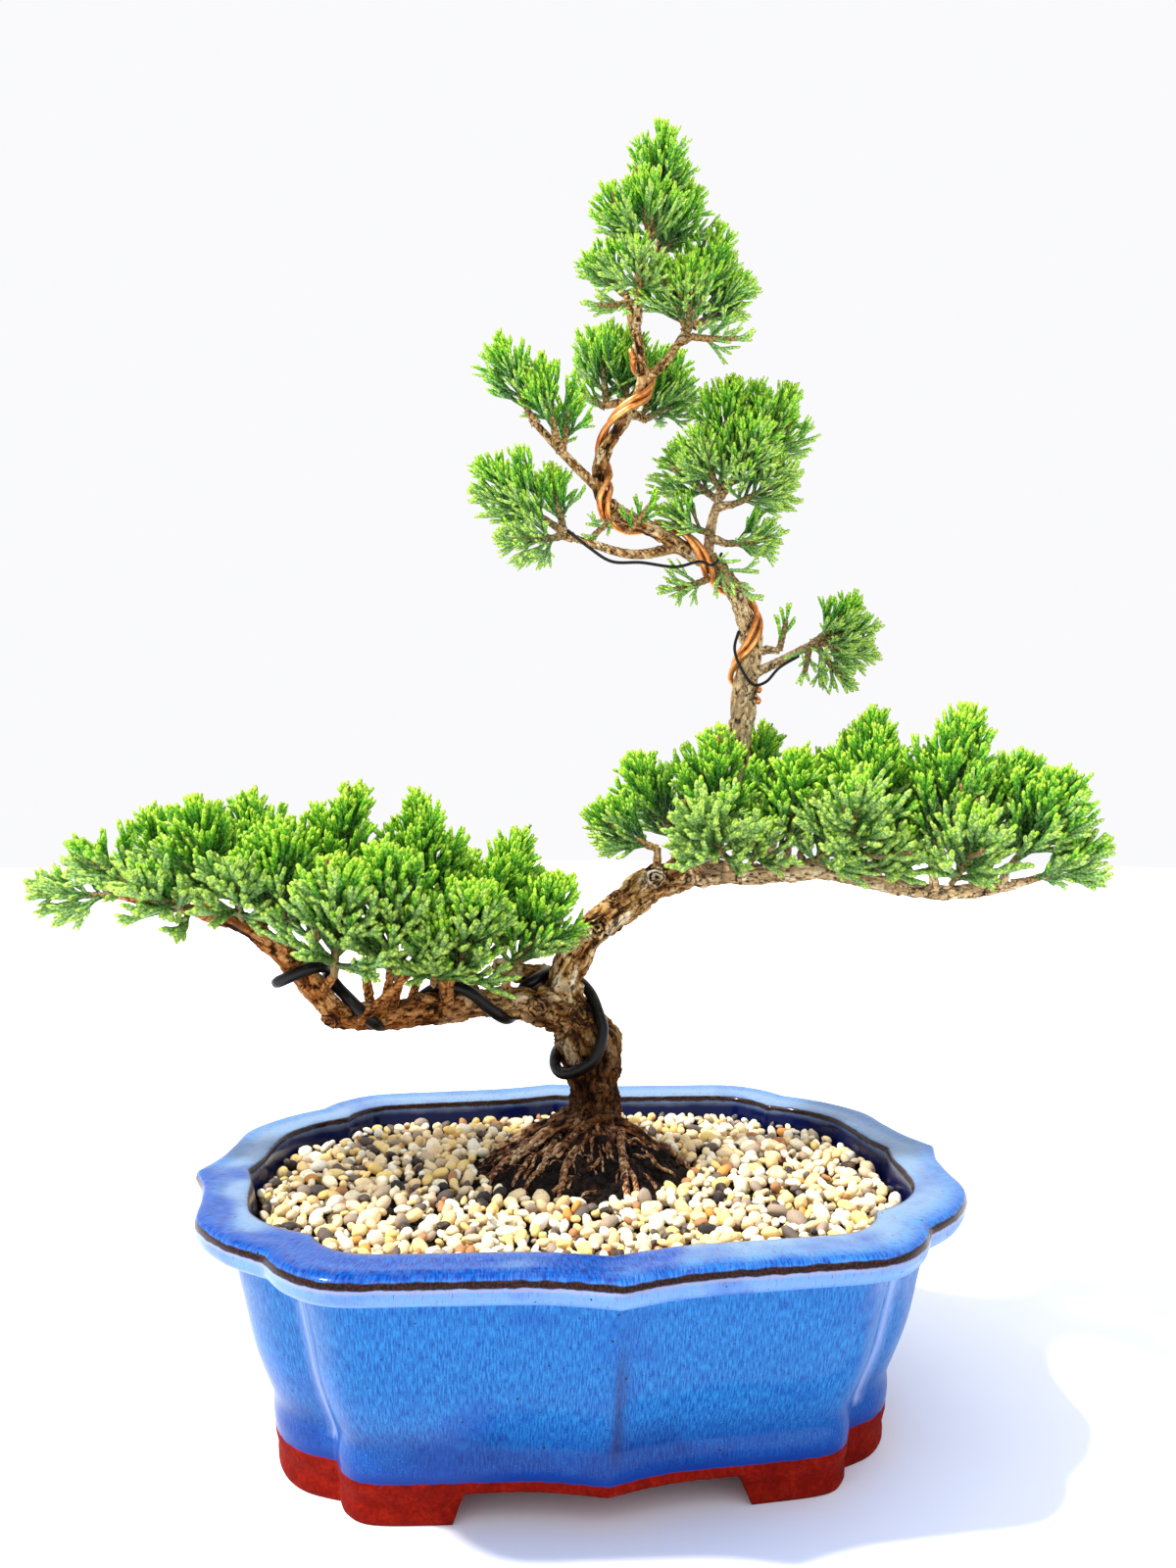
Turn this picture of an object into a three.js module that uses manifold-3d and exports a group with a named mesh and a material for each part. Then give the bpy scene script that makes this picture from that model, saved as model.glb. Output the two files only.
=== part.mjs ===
// Shimpaku juniper bonsai in a glazed, bracket-lobed pot. Millimetres, +Z up.
// X runs along the pot's long side, -Y faces the viewer, and the pot stands on z = 0.
import * as THREE from 'three';
import { mergeVertices } from 'three/addons/utils/BufferGeometryUtils.js';
import Module from 'manifold-3d';

const wasm = await Module();
wasm.setup();

// Driving dimensions of the pot
const potHeight = 69.5;
const footHeight = 8;
const ledge = 6.5;
const glazeLine = 11;
const floorTop = 12;
const wallFoot = 18;
const archHalfLong = 37;
const archHalfShort = 20;
const archSlant = 3.4;
const drainRadius = 7;
const drainSpacing = 72;
const recessGrowth = -0.5;
const cutReach = 130;
const screenSide = 22;
const screenThick = 1.2;
const screenHole = 7;
const seatGap = 0.3;
const wireRoom = 0.38;

// A quarter of the pot's plan, from the middle of the long side to the middle of the short
// side. It has an outward cusp at both middles and an inward notch at the corner.
const rimLongSide = [[0, 93], [17, 88], [41, 86], [63, 84], [74, 76], [80, 66]];
const rimShortSide = [[80, 66], [91, 56], [100, 41], [102, 25], [104, 12], [108, 0]];
const footLongSide = [[0, 65], [17, 60.5], [40, 59], [56, 57], [62, 52], [64, 46]];
const footShortSide = [[64, 46], [73, 41], [79, 33], [82, 22], [82.5, 10], [84, 0]];
const pointsPerSide = 5;

// The pot's section: height, and how far the plan has grown from the foot (0) to the rim (1)
const potOutside = [
  [0, 0], [ledge, 0.015], [glazeLine, 0.05], [14, 0.07], [wallFoot, 0.062],
  [24, 0.15], [33, 0.3], [46, 0.44], [58.8, 0.57], [62.4, 0.93], [65.8, 1], [68.7, 0.985],
];
const potRim = [[potHeight, 0.94], [69.1, 0.43], [68.2, 0.385]];
const potInside = [[64, 0.345], [40, 0.18], [floorTop, -0.3]];

// Driving dimensions of the soil and the gravel
const soilTop = 58;
const gravelFloor = 58.3;
const gravelLow = 60.2;
const gravelHigh = 64.6;
const mound = { x: 3, y: 14, radius: 34 };
const moundTop = { x: 6, y: 27, z: 71.5 };
const moundTaper = 0.78;
const soilGrowth = -0.33;
const soilGrowthPerMm = 0.0137;
const gravelGrowth = 0.27;
const gravelClearing = mound.radius * 1.13;
const gravelRings = 8;
const gravelSectors = 72;

// Driving dimensions of the wood and the wires. A wound wire has a point every few degrees.
const barkDepth = 0.16;
const knotSink = 0.62;
const twigThick = 1.8;
const twigThin = 0.95;
const twigRoom = 1.6;
const rootGap = 0.5;
const heavyWire = 1.8;
const copperWire = 0.95;
const copperPitch = 3.9;
const thinWire = 0.5;
const degreesPerPoint = 40;

// Driving dimensions of the foliage
const shootRadius = 0.8;
const stemRadius = 1.3;
const stemGap = 0.7;
const ringStep = 2.35;
const clearance = 0.45;
const stemBend = { along: 0.45, sag: 0.06 };
const stemShare = 0.8;
const stemTaper = 0.35;
const leanAtRoot = 58;
const leanLoss = 26;
const stray = 0.16;
const lift = 0.14;
const leastOutward = 0.3;
const firstClear = 2.2;
const shootLengths = { least: 0.28, swell: 0.3, tries: [1, 0.68, 0.42] };

const materials = {
  glaze: new THREE.MeshStandardMaterial({ color: 0x3f78c4, roughness: 0.18 }),
  screen: new THREE.MeshStandardMaterial({ color: 0x1d1d1f, roughness: 0.6 }),
  soil: new THREE.MeshStandardMaterial({ color: 0x2b1d14, roughness: 0.95 }),
  gravel: new THREE.MeshStandardMaterial({ color: 0xc9b48c, roughness: 0.85 }),
  bark: new THREE.MeshStandardMaterial({ color: 0x7a5c42, roughness: 0.9 }),
  blackWire: new THREE.MeshStandardMaterial({ color: 0x17181a, roughness: 0.4, metalness: 0.3 }),
  copper: new THREE.MeshStandardMaterial({ color: 0xa86a35, roughness: 0.4, metalness: 0.9 }),
  foliage: new THREE.MeshStandardMaterial({ color: 0x5d9a33, roughness: 0.6 }),
};

// Repeatable random numbers
function seeded(seed) {
  let state = seed >>> 0;
  return () => {
    state = (state + 0x6d2b79f5) >>> 0;
    let t = state;
    t = Math.imul(t ^ (t >>> 15), t | 1);
    t ^= t + Math.imul(t ^ (t >>> 7), t | 61);
    return ((t ^ (t >>> 14)) >>> 0) / 4294967296;
  };
}

// Solids for joining and cutting
function toSolid(geometry) {
  const bare = geometry.clone();
  bare.deleteAttribute('normal');
  bare.deleteAttribute('uv');
  const merged = mergeVertices(bare, 1e-5);
  return new wasm.Manifold(new wasm.Mesh({
    numProp: 3,
    vertProperties: new Float32Array(merged.attributes.position.array),
    triVerts: new Uint32Array(merged.index.array),
  }));
}

function toGeometry(solid) {
  const mesh = solid.getMesh();
  const geometry = new THREE.BufferGeometry();
  geometry.setAttribute('position', new THREE.BufferAttribute(mesh.vertProperties, 3));
  geometry.setIndex(new THREE.BufferAttribute(mesh.triVerts, 1));
  geometry.computeVertexNormals();
  return geometry;
}

function largestBody(solid) {
  const bodies = solid.decompose().filter((body) => body.volume() > 0);
  bodies.sort((a, b) => b.volume() - a.volume());
  return bodies[0];
}

function named(name, geometry, material) {
  const mesh = new THREE.Mesh(geometry, material);
  mesh.name = name;
  return mesh;
}

// A closed solid through a list of rings that all have the same number of points
function loft(rings) {
  const count = rings[0].length;
  const points = rings.flat();
  const sum = (ring) => ring.reduce((total, p) => total.add(p), new THREE.Vector3());
  const middle = (ring) => sum(ring).divideScalar(count);
  points.push(middle(rings[0]), middle(rings[rings.length - 1]));
  const faces = [];
  for (let r = 0; r < rings.length - 1; r += 1) {
    for (let i = 0; i < count; i += 1) {
      const a = r * count + i;
      const b = r * count + (i + 1) % count;
      faces.push(a, b, b + count, a, b + count, a + count);
    }
  }
  const last = (rings.length - 1) * count;
  for (let i = 0; i < count; i += 1) {
    const next = (i + 1) % count;
    faces.push(points.length - 2, next, i);
    faces.push(points.length - 1, last + i, last + next);
  }
  const geometry = new THREE.BufferGeometry().setFromPoints(points);
  geometry.setIndex(faces);
  return geometry;
}

// Frames along a path that turn as little as they can
function framesAlong(points) {
  const frames = [];
  let side = new THREE.Vector3(0, -1, 0);
  for (let i = 0; i < points.length; i += 1) {
    const before = points[Math.max(i - 1, 0)];
    const after = points[Math.min(i + 1, points.length - 1)];
    const tangent = after.clone().sub(before).normalize();
    if (Math.abs(side.dot(tangent)) > 0.95) side = new THREE.Vector3(1, 0, 0);
    side = side.clone().addScaledVector(tangent, -side.dot(tangent)).normalize();
    frames.push({ tangent, side, other: tangent.clone().cross(side) });
  }
  return frames;
}

// A closed tube along points. The surface only ever dips below its radius, never above.
function tube(points, radii, sides, dip = 0, seed = 1) {
  const random = seeded(seed);
  const frames = framesAlong(points);
  const rings = points.map((point, i) => {
    const ring = [];
    for (let k = 0; k < sides; k += 1) {
      const angle = (k / sides) * 2 * Math.PI;
      const reach = radii[i] * (1 - dip * random());
      ring.push(point.clone()
        .addScaledVector(frames[i].side, reach * Math.cos(angle))
        .addScaledVector(frames[i].other, reach * Math.sin(angle)));
    }
    return ring;
  });
  return loft(rings);
}

// The pot's plan at one stage of growth, as a ring of points at height z
function planRing(growth, z) {
  const side = (foot, rim) => {
    const from = new THREE.SplineCurve(foot.map((p) => new THREE.Vector2(...p)));
    const to = new THREE.SplineCurve(rim.map((p) => new THREE.Vector2(...p)));
    const row = [];
    for (let i = 0; i < pointsPerSide; i += 1) {
      const t = i / pointsPerSide;
      row.push(from.getPoint(t).lerp(to.getPoint(t), growth));
    }
    return row;
  };
  const quarter = [...side(footLongSide, rimLongSide), ...side(footShortSide, rimShortSide)];
  const end = new THREE.Vector2(...footShortSide.at(-1));
  end.lerp(new THREE.Vector2(...rimShortSide.at(-1)), growth);
  const mirrored = (row, x, y) => row.map((p) => new THREE.Vector2(p.x * x, p.y * y)).reverse();
  const half = [...quarter, end, ...mirrored(quarter, 1, -1)];
  const full = [...half, ...mirrored(half.slice(1, -1), -1, 1)];
  return full.reverse().map((p) => new THREE.Vector3(p.x, p.y, z));
}

function trapezoidThrough(halfAtFloor, halfAtTop, alongX) {
  const shape = new THREE.Shape();
  shape.moveTo(-halfAtFloor, -1);
  shape.lineTo(halfAtFloor, -1);
  shape.lineTo(halfAtTop, footHeight);
  shape.lineTo(-halfAtTop, footHeight);
  const geometry = new THREE.ExtrudeGeometry(shape, { depth: 2 * cutReach, bevelEnabled: false });
  geometry.translate(0, 0, -cutReach);
  geometry.rotateX(Math.PI / 2);
  if (alongX) geometry.rotateZ(Math.PI / 2);
  return toSolid(geometry);
}

function drainHole(x) {
  const hole = new THREE.CylinderGeometry(drainRadius, drainRadius, 20, 16);
  hole.rotateX(Math.PI / 2);
  hole.translate(x, 0, floorTop - 5);
  return toSolid(hole);
}

// One fired piece: walls, flared rim, floor and four corner feet
function makePot() {
  const section = [...potOutside, ...potRim, ...potInside];
  const body = toSolid(loft(section.map(([z, growth]) => planRing(growth, z))));
  const recess = toSolid(loft([planRing(recessGrowth, -1), planRing(recessGrowth, footHeight)]));
  const cuts = [
    recess,
    trapezoidThrough(archHalfLong, archHalfLong - archSlant, false),
    trapezoidThrough(archHalfShort, archHalfShort - archSlant, true),
    drainHole(drainSpacing / 2),
    drainHole(-drainSpacing / 2),
  ];
  return body.subtract(wasm.Manifold.union(cuts));
}

// A square of plastic mesh over each drain hole
function makeScreen(x) {
  const box = (w, d, h, cx, cy, cz) => {
    const geometry = new THREE.BoxGeometry(w, d, h);
    geometry.translate(cx, cy, cz);
    return toSolid(geometry);
  };
  const z = floorTop + seatGap + screenThick / 2;
  const holes = [];
  for (const i of [-0.5, 0.5]) {
    for (const k of [-0.5, 0.5]) {
      holes.push(box(screenHole, screenHole, 4, x + i * (screenHole + 2), k * (screenHole + 2), z));
    }
  }
  const plate = box(screenSide, screenSide, screenThick, x, 0, z);
  return plate.subtract(wasm.Manifold.union(holes));
}

// A ring round the mound, from its foot (0) to its top (1)
function moundRing(rise, z) {
  const turns = pointsPerSide * 8;
  const ring = [];
  const radius = mound.radius * (1 - moundTaper * rise);
  const x = mound.x + (moundTop.x - mound.x) * rise;
  const y = mound.y + (moundTop.y - mound.y) * rise;
  for (let i = 0; i < turns; i += 1) {
    const angle = Math.PI / 2 + (i / turns) * 2 * Math.PI;
    ring.push(new THREE.Vector3(x + radius * Math.cos(angle), y + radius * Math.sin(angle), z));
  }
  return ring;
}

// Soil that fills the pot and mounds up round the trunk
function makeSoil(holes) {
  const side = (z) => planRing(soilGrowth + (z - floorTop) * soilGrowthPerMm, z);
  const body = toSolid(loft([
    side(floorTop + seatGap), side(40), side(soilTop),
    moundRing(-0.12, soilTop), moundRing(0.12, soilTop + 3.4), moundRing(0.45, soilTop + 8.2),
    moundRing(0.8, soilTop + 12), moundRing(1, moundTop.z),
  ]));
  return largestBody(body.subtract(holes));
}

// A layer of gravel between the mound and the wall. Its pebbles are peaks raised by a rule:
// every second ring and sector carries one, and a seeded draw varies the heights.
function makeGravel(holes) {
  const random = seeded(7);
  const outer = planRing(gravelGrowth, 0);
  const outerAt = (t) => {
    const place = t * outer.length;
    const i = Math.floor(place) % outer.length;
    return outer[i].clone().lerp(outer[(i + 1) % outer.length], place - Math.floor(place));
  };
  const innerAt = (t) => {
    const angle = Math.PI / 2 + t * 2 * Math.PI;
    const x = mound.x + gravelClearing * Math.cos(angle);
    return new THREE.Vector3(x, mound.y + gravelClearing * Math.sin(angle), 0);
  };
  const rings = [];
  for (let r = 0; r <= gravelRings; r += 1) {
    const ring = [];
    for (let s = 0; s < gravelSectors; s += 1) {
      const point = outerAt(s / gravelSectors).lerp(innerAt(s / gravelSectors), r / gravelRings);
      const peak = r % 2 === 1 && (s + r) % 2 === 1;
      point.z = peak ? gravelHigh - 1.6 * random() : gravelLow + 0.7 * random();
      ring.push(point);
    }
    rings.push(ring);
  }
  const low = (ring) => ring.map((p) => new THREE.Vector3(p.x, p.y, gravelFloor));
  rings.unshift(low(rings[0]));
  rings.push(low(rings[rings.length - 1]));
  return largestBody(toSolid(closedBand(rings)).subtract(holes));
}

// A ring-shaped solid: the first ring joins the last, so it has no caps
function closedBand(rings) {
  const count = rings[0].length;
  const faces = [];
  for (let r = 0; r < rings.length; r += 1) {
    const up = ((r + 1) % rings.length) * count;
    for (let i = 0; i < count; i += 1) {
      const next = (i + 1) % count;
      faces.push(r * count + i, r * count + next, up + next, r * count + i, up + next, up + i);
    }
  }
  const geometry = new THREE.BufferGeometry().setFromPoints(rings.flat());
  geometry.setIndex(faces);
  return geometry;
}

// Limbs of the tree: points along the middle of the wood, each with its radius
const limbPoints = {
  trunk: [[8, 30, 40, 9], [8.5, 30, 62, 8.8], [8.7, 30, 73, 8.2], [8, 29, 84, 7.5],
    [6, 28, 97, 10], [-1.7, 27, 113.5, 5.8], [1.7, 27, 124.5, 5.6], [8.5, 27, 133.5, 5.3],
    [17, 26.5, 139.5, 5.3], [26.7, 26, 147, 5.8], [37.4, 24.5, 150.4, 4.9]],
  left: [[-0.2, 27, 106, 7.6], [-12.7, 24, 110, 5.4], [-25, 21, 111, 4.3], [-43.3, 17, 110.2, 4.6],
    [-58.5, 13, 109.5, 4.3], [-69.2, 11, 110.2, 3.7], [-76.1, 10, 117.7, 3.5],
    [-83.2, 10, 126.4, 3.6], [-99, 10, 137.8, 2.8], [-113, 9, 142, 2.1], [-126, 8, 145, 1.6]],
  right: [[37, 25, 151, 4.8], [54.6, 20, 150, 3.4], [76, 12, 151.2, 2.8], [94, 6, 147.7, 2.6],
    [109, 0, 145.6, 2.3], [121.6, -4, 146.3, 2.1], [130.5, -6, 148, 1.6]],
  upper: [[35, 26, 150, 4.8], [46, 33, 160, 4.4], [55, 37, 180, 4.1], [58, 38, 201, 3.9],
    [59, 38, 211, 3.8], [61, 37, 223, 3.5], [57, 35, 236, 3], [50, 32, 246, 2.9],
    [38, 29, 253, 2.8], [25, 26, 259, 2.6], [13, 24, 264, 2.5], [9, 23, 270, 2.4],
    [10, 22, 280, 2.2], [16, 21, 291, 2], [22, 20, 302, 1.9], [22, 19, 309, 1.8],
    [20, 18, 319, 1.6], [21, 16, 332, 1.4], [24, 14, 347, 1.1]],
  stub: [[-1, 31, 115, 4.2], [-6, 34, 116, 3.9], [-15, 36, 118, 3.6], [-23.5, 34, 120.5, 2.6]],
  leader: [[23, 20, 303, 1.6], [31, 21, 312, 1.4], [36, 21, 320, 1.1]],
  leftTwig: [[36, 29, 254, 1.9], [20, 23, 250, 1.6], [6, 18, 252, 1.4], [-2, 16, 254, 1.1]],
  upLeftTwig: [[8, 23, 271, 1.6], [-3, 21, 281, 1.4], [-11, 20, 289, 1.1]],
  rightTwig: [[45, 31, 249, 1.9], [46, 28, 262, 1.7], [48, 24, 270, 1.2]],
  smallTwig: [[61, 37, 214, 1.7], [71, 33, 219, 1.4], [79, 28.5, 223.5, 1.1]],
  rootA: [[6, 27, 74, 4.5], [-6, 20, 71.5, 2.6], [-18, 12, 66, 1.9], [-27, 6, 61.5, 1.2]],
  rootB: [[5, 25, 73, 4], [-3, 13, 68.5, 2.4], [-11, 3, 64, 1.8], [-16, -6, 60.5, 1.1]],
  rootC: [[6, 24, 73, 4], [2, 12, 68.5, 2.2], [-2, 0, 63.5, 1.6], [-3, -9, 60.5, 1]],
  rootD: [[9, 25, 73, 4], [11, 14, 69, 2.5], [12, 3, 64.5, 1.8], [15, -7, 60.5, 1.1]],
  rootE: [[11, 28, 73, 4.2], [22, 22, 69, 2.2], [30, 15, 62, 1.3]],
  rootF: [[3, 31, 74, 4.2], [-12, 33, 68, 2.2], [-24, 33, 61.5, 1.2]],
};
const limbSides = { trunk: 8, left: 7, right: 6, upper: 6 };
const limbStep = { trunk: 12, left: 13, right: 16, upper: 13 };

const limbs = {};
for (const [name, points] of Object.entries(limbPoints)) {
  const middles = points.map(([x, y, z]) => new THREE.Vector3(x, y, z));
  const path = new THREE.CatmullRomCurve3(middles, false, 'centripetal');
  const last = points.length - 1;
  const radiusAt = (t) => {
    const i = Math.min(Math.floor(t * last), last - 1);
    return THREE.MathUtils.lerp(points[i][3], points[i + 1][3], t * last - i);
  };
  limbs[name] = { path, radiusAt, length: path.getLength() };
}

// A limb's solid. With a swell it is smooth and that much thicker, to cut its hole.
function limbSolid(name, seed, swell = 0) {
  const { path, radiusAt, length } = limbs[name];
  const steps = Math.max(3, Math.round(length / (limbStep[name] ?? 11)));
  const points = [];
  const radii = [];
  for (let i = 0; i <= steps; i += 1) {
    points.push(path.getPoint(i / steps));
    radii.push(radiusAt(i / steps) + swell);
  }
  return toSolid(tube(points, radii, limbSides[name] ?? 4, swell ? 0 : barkDepth, seed));
}

// Healed knots: place on a limb, direction, size
const knots = [
  ['trunk', 0.7, [0, -1, 0.1], 4.6], ['trunk', 0.9, [0.4, -0.8, 0.5], 3.8],
  ['trunk', 0.8, [-0.6, -0.5, 0.6], 3.4], ['trunk', 0.455, [0.3, -1, 0.2], 4.8],
  ['left', 0.09, [0.1, -1, 0.1], 4], ['upper', 0.565, [0.2, -1, -0.2], 2.9],
  ['upper', 0.4, [0.8, -0.6, 0], 3], ['left', 0.52, [0, -0.6, -0.9], 3.4],
];

function knotSolid([limb, t, toward, size]) {
  const geometry = new THREE.IcosahedronGeometry(size, 0);
  const centre = limbs[limb].path.getPoint(t);
  const out = limbs[limb].radiusAt(t) - size * knotSink;
  centre.addScaledVector(new THREE.Vector3(...toward).normalize(), out);
  geometry.translate(centre.x, centre.y, centre.z);
  return toSolid(geometry);
}

// Foliage sprays: name, limb and place that its twig grows from, root, tip, width
const sprays = [
  ['left_tip', 'left', 0.99, [-131, 8, 146], [-158, 14, 148], 26],
  ['left_b', 'left', 0.96, [-123, 5, 148], [-140, -8, 161], 26],
  ['left_c', 'left', 0.9, [-114, 12, 146], [-128, 22, 170], 28],
  ['left_d', 'left', 0.82, [-104, 8, 143], [-109, 0, 174], 36],
  ['left_e', 'left', 0.85, [-108, 3, 141], [-121, -24, 153], 30],
  ['left_f', 'left', 0.76, [-91, 14, 137], [-98, 26, 176], 36],
  ['left_g', 'left', 0.7, [-84, 3, 134], [-84, -12, 168], 36],
  ['left_h', 'left', 0.66, [-77, 12, 131], [-64, 8, 178], 36],
  ['left_i', 'left', 0.58, [-70, 2, 123], [-66, -32, 157], 36],
  ['left_j', 'left', 0.34, [-46, 19, 120], [-46, 14, 176], 40],
  ['left_k', 'left', 0.37, [-52, 10, 118], [-56, -22, 161], 38],
  ['left_l', 'left', 0.22, [-31, 20, 119], [-15, 14, 164], 38],
  ['left_m', 'left', 0.17, [-20, 14, 120], [-2, 3, 151], 28],
  ['left_n', 'left', 0.25, [-36, 27, 119], [-30, 50, 156], 38],
  ['left_o', 'left', 0.63, [-77, 18, 127], [-81, 50, 162], 38],
  ['left_p', 'left', 0.86, [-107, 16, 143], [-123, 46, 163], 36],
  ['right_a', 'trunk', 0.92, [27, 20, 158], [4, 18, 169], 32],
  ['right_b', 'trunk', 0.95, [36, 30, 158], [21, 37, 188], 32],
  ['right_c', 'right', 0.08, [45, 18, 158], [44, 8, 195], 38],
  ['right_d', 'upper', 0.05, [56, 39, 166], [71, 50, 198], 36],
  ['right_e', 'right', 0.12, [48, 14, 155], [30, -22, 171], 32],
  ['right_f', 'right', 0.26, [66, 12, 157], [67, 0, 188], 36],
  ['right_g', 'right', 0.3, [72, 19, 156], [91, 44, 187], 38],
  ['right_h', 'right', 0.48, [88, 10, 156], [94, 10, 201], 38],
  ['right_i', 'right', 0.4, [82, 4, 155], [76, -28, 178], 36],
  ['right_j', 'right', 0.56, [98, 10, 154], [126, 36, 187], 38],
  ['right_k', 'right', 0.66, [107, 0, 152], [120, 2, 202], 38],
  ['right_l', 'right', 0.8, [120, 2, 152], [149, 18, 187], 38],
  ['right_m', 'right', 0.92, [128, -6, 152], [149, -9, 181], 36],
  ['right_n', 'right', 0.99, [134, -7, 149], [158, -11, 160], 26],
  ['small_right', 'smallTwig', 0.99, [82, 27, 225.5], [97.5, 21, 227.5], 28],
  ['small_sprig', 'upper', 0.27, [69, 32, 221.6], [71, 29, 233], 10],
  ['right_up_a', 'rightTwig', 0.99, [48, 22, 274], [50, 15, 304], 36],
  ['right_up_b', 'rightTwig', 0.96, [51.5, 25, 274], [71, 20, 303], 38],
  ['right_up_c', 'rightTwig', 0.75, [51, 21, 266], [67, 4, 273], 32],
  ['right_up_d', 'rightTwig', 0.3, [50, 27, 255], [66, 20, 256], 26],
  ['right_up_e', 'rightTwig', 0.9, [47, 29, 270], [33, 40, 287], 30],
  ['low_left_a', 'leftTwig', 0.99, [-5, 16, 256.5], [-30, 10, 273.5], 30],
  ['low_left_b', 'leftTwig', 0.93, [-3, 12, 253], [-23, 3, 249], 26],
  ['up_left_a', 'upLeftTwig', 0.99, [-13, 19.5, 292], [-23.5, 14, 313], 28],
  ['up_left_b', 'upLeftTwig', 0.5, [-4.5, 18, 283], [-10.5, 12, 307], 26],
  ['mid_a', 'upper', 0.75, [12, 28, 298], [11, 37, 326], 30],
  ['mid_b', 'upper', 0.735, [24, 28, 294], [41, 39, 308], 26],
  ['top_right_a', 'leader', 0.99, [38, 21, 322], [47, 17, 352], 30],
  ['top_right_b', 'leader', 0.8, [37, 17, 317], [53, 9, 314], 20],
  ['apex_a', 'upper', 0.99, [25, 13.5, 350], [28, 12, 380], 28],
  ['apex_b', 'upper', 0.93, [21, 11, 340], [8.5, 6, 356], 28],
  ['apex_c', 'upper', 0.88, [17, 18, 329], [6, 27, 345], 28],
  ['apex_d', 'upper', 0.94, [27, 19, 341], [39.5, 24, 366], 28],
];

// A spray's twig: woody, part of the tree, and a little short of the spray's root
function twigSolid([, limb, t, root]) {
  const points = [limbs[limb].path.getPoint(t), new THREE.Vector3(...root)];
  return toSolid(tube(points, [twigThick, twigThin], 3));
}

// How fast a limb's point moves as its place changes, in millimetres for the whole limb
function limbSpeed(limb, t) {
  const { path } = limbs[limb];
  return path.getPoint(t + 0.01).distanceTo(path.getPoint(t - 0.01)) / 0.02;
}

// Points on a wire that winds round a limb. Each stop is a place on the limb and an angle:
// 0 faces the viewer, and the angle grows toward the limb's upper or right side.
function windingPoints(limb, stops, wireRadius, shift = 0) {
  const { path, radiusAt } = limbs[limb];
  const pointAt = (place, degrees) => {
    const t = place + shift / limbSpeed(limb, place);
    const angle = THREE.MathUtils.degToRad(degrees);
    const tangent = path.getTangent(t);
    const front = new THREE.Vector3(0, -1, 0);
    front.addScaledVector(tangent, -front.dot(tangent)).normalize();
    const side = tangent.clone().cross(front);
    const reach = radiusAt(t) + wireRadius + seatGap;
    return path.getPoint(t)
      .addScaledVector(front, reach * Math.cos(angle))
      .addScaledVector(side, reach * Math.sin(angle));
  };
  const points = [];
  for (let s = 0; s < stops.length - 1; s += 1) {
    const [t0, angle0] = stops[s];
    const [t1, angle1] = stops[s + 1];
    const count = Math.max(1, Math.round(Math.abs(angle1 - angle0) / degreesPerPoint));
    for (let i = 0; i < count; i += 1) {
      const share = i / count;
      points.push(pointAt(
        THREE.MathUtils.lerp(t0, t1, share),
        THREE.MathUtils.lerp(angle0, angle1, share),
      ));
    }
  }
  points.push(pointAt(...stops.at(-1)));
  return points;
}

function wireSolid(points, radius, sides, step) {
  const path = new THREE.CatmullRomCurve3(points, false, 'centripetal');
  const outline = new THREE.Shape();
  for (let i = 0; i < sides; i += 1) {
    const angle = (i / sides) * 2 * Math.PI;
    const move = i ? 'lineTo' : 'moveTo';
    outline[move](radius * Math.cos(angle), radius * Math.sin(angle));
  }
  const steps = Math.round(path.getLength() / step);
  return toSolid(new THREE.ExtrudeGeometry(outline, { steps, extrudePath: path, bevelEnabled: false }));
}

// The heavy wire's route, from its cut end over the left branch, round the trunk to its back
const heavyRoute = [
  [-87.5, 8.5, 120], [-82.5, 5.2, 122.5], [-77.5, 4.6, 124.5], [-74.5, 6.5, 125], [-73, 10, 124],
  [-72.5, 12.5, 121.5], [-70, 12.5, 118], [-66, 9.5, 114.5], [-62, 6.6, 111], [-59.5, 7.6, 108.5],
  [-57.5, 12.5, 106.5], [-54.5, 18, 106.5], [-51, 21.5, 108.5], [-46.5, 22, 112.5],
  [-41.5, 20, 116], [-37, 15.5, 117.5], [-31, 13.6, 115.5], [-26, 14.6, 111], [-22.5, 17, 108],
  [-19.5, 22, 106], [-16.5, 28, 107], [-15.5, 30.5, 110], [-14, 29, 114.5], [-11, 28.5, 116.5],
  [-7.5, 30.5, 118], [-2.5, 35, 118.5], [1.5, 36, 116.5], [4.5, 31.5, 115], [7, 26.5, 112],
  [8.5, 21.5, 107.5], [9.5, 18, 103], [8.5, 16.2, 98], [6.5, 15.8, 94], [3.5, 16.6, 91.5],
  [0, 18.6, 89.5], [-3, 21.5, 89], [-4.5, 25, 90.5], [-4, 29.5, 93], [-2, 35, 94.5], [1, 39, 96],
];
const copperOnUpper = [
  [0.19, -300], [0.23, -110], [0.285, 0], [0.42, 360], [0.575, 720], [0.74, 1080], [0.84, 1370],
];
const thinRouteRight = [[56, 33.5, 228], [54.5, 33, 222], [57, 32.8, 215], [61, 33.2, 210.5],
  [65, 33.6, 211.5], [69, 31.8, 216], [75, 29.4, 219.7]];
const thinRouteLeft = [[-2, 13, 255], [5, 14.5, 250], [12, 17, 246.5], [22, 20.5, 247],
  [33, 21, 246], [41, 22, 248], [45, 22, 247], [48, 22.5, 251]];

const toVectors = (rows) => rows.map((row) => new THREE.Vector3(...row));

const copperPoints = (shift) => windingPoints('upper', copperOnUpper, copperWire, shift);

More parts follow.
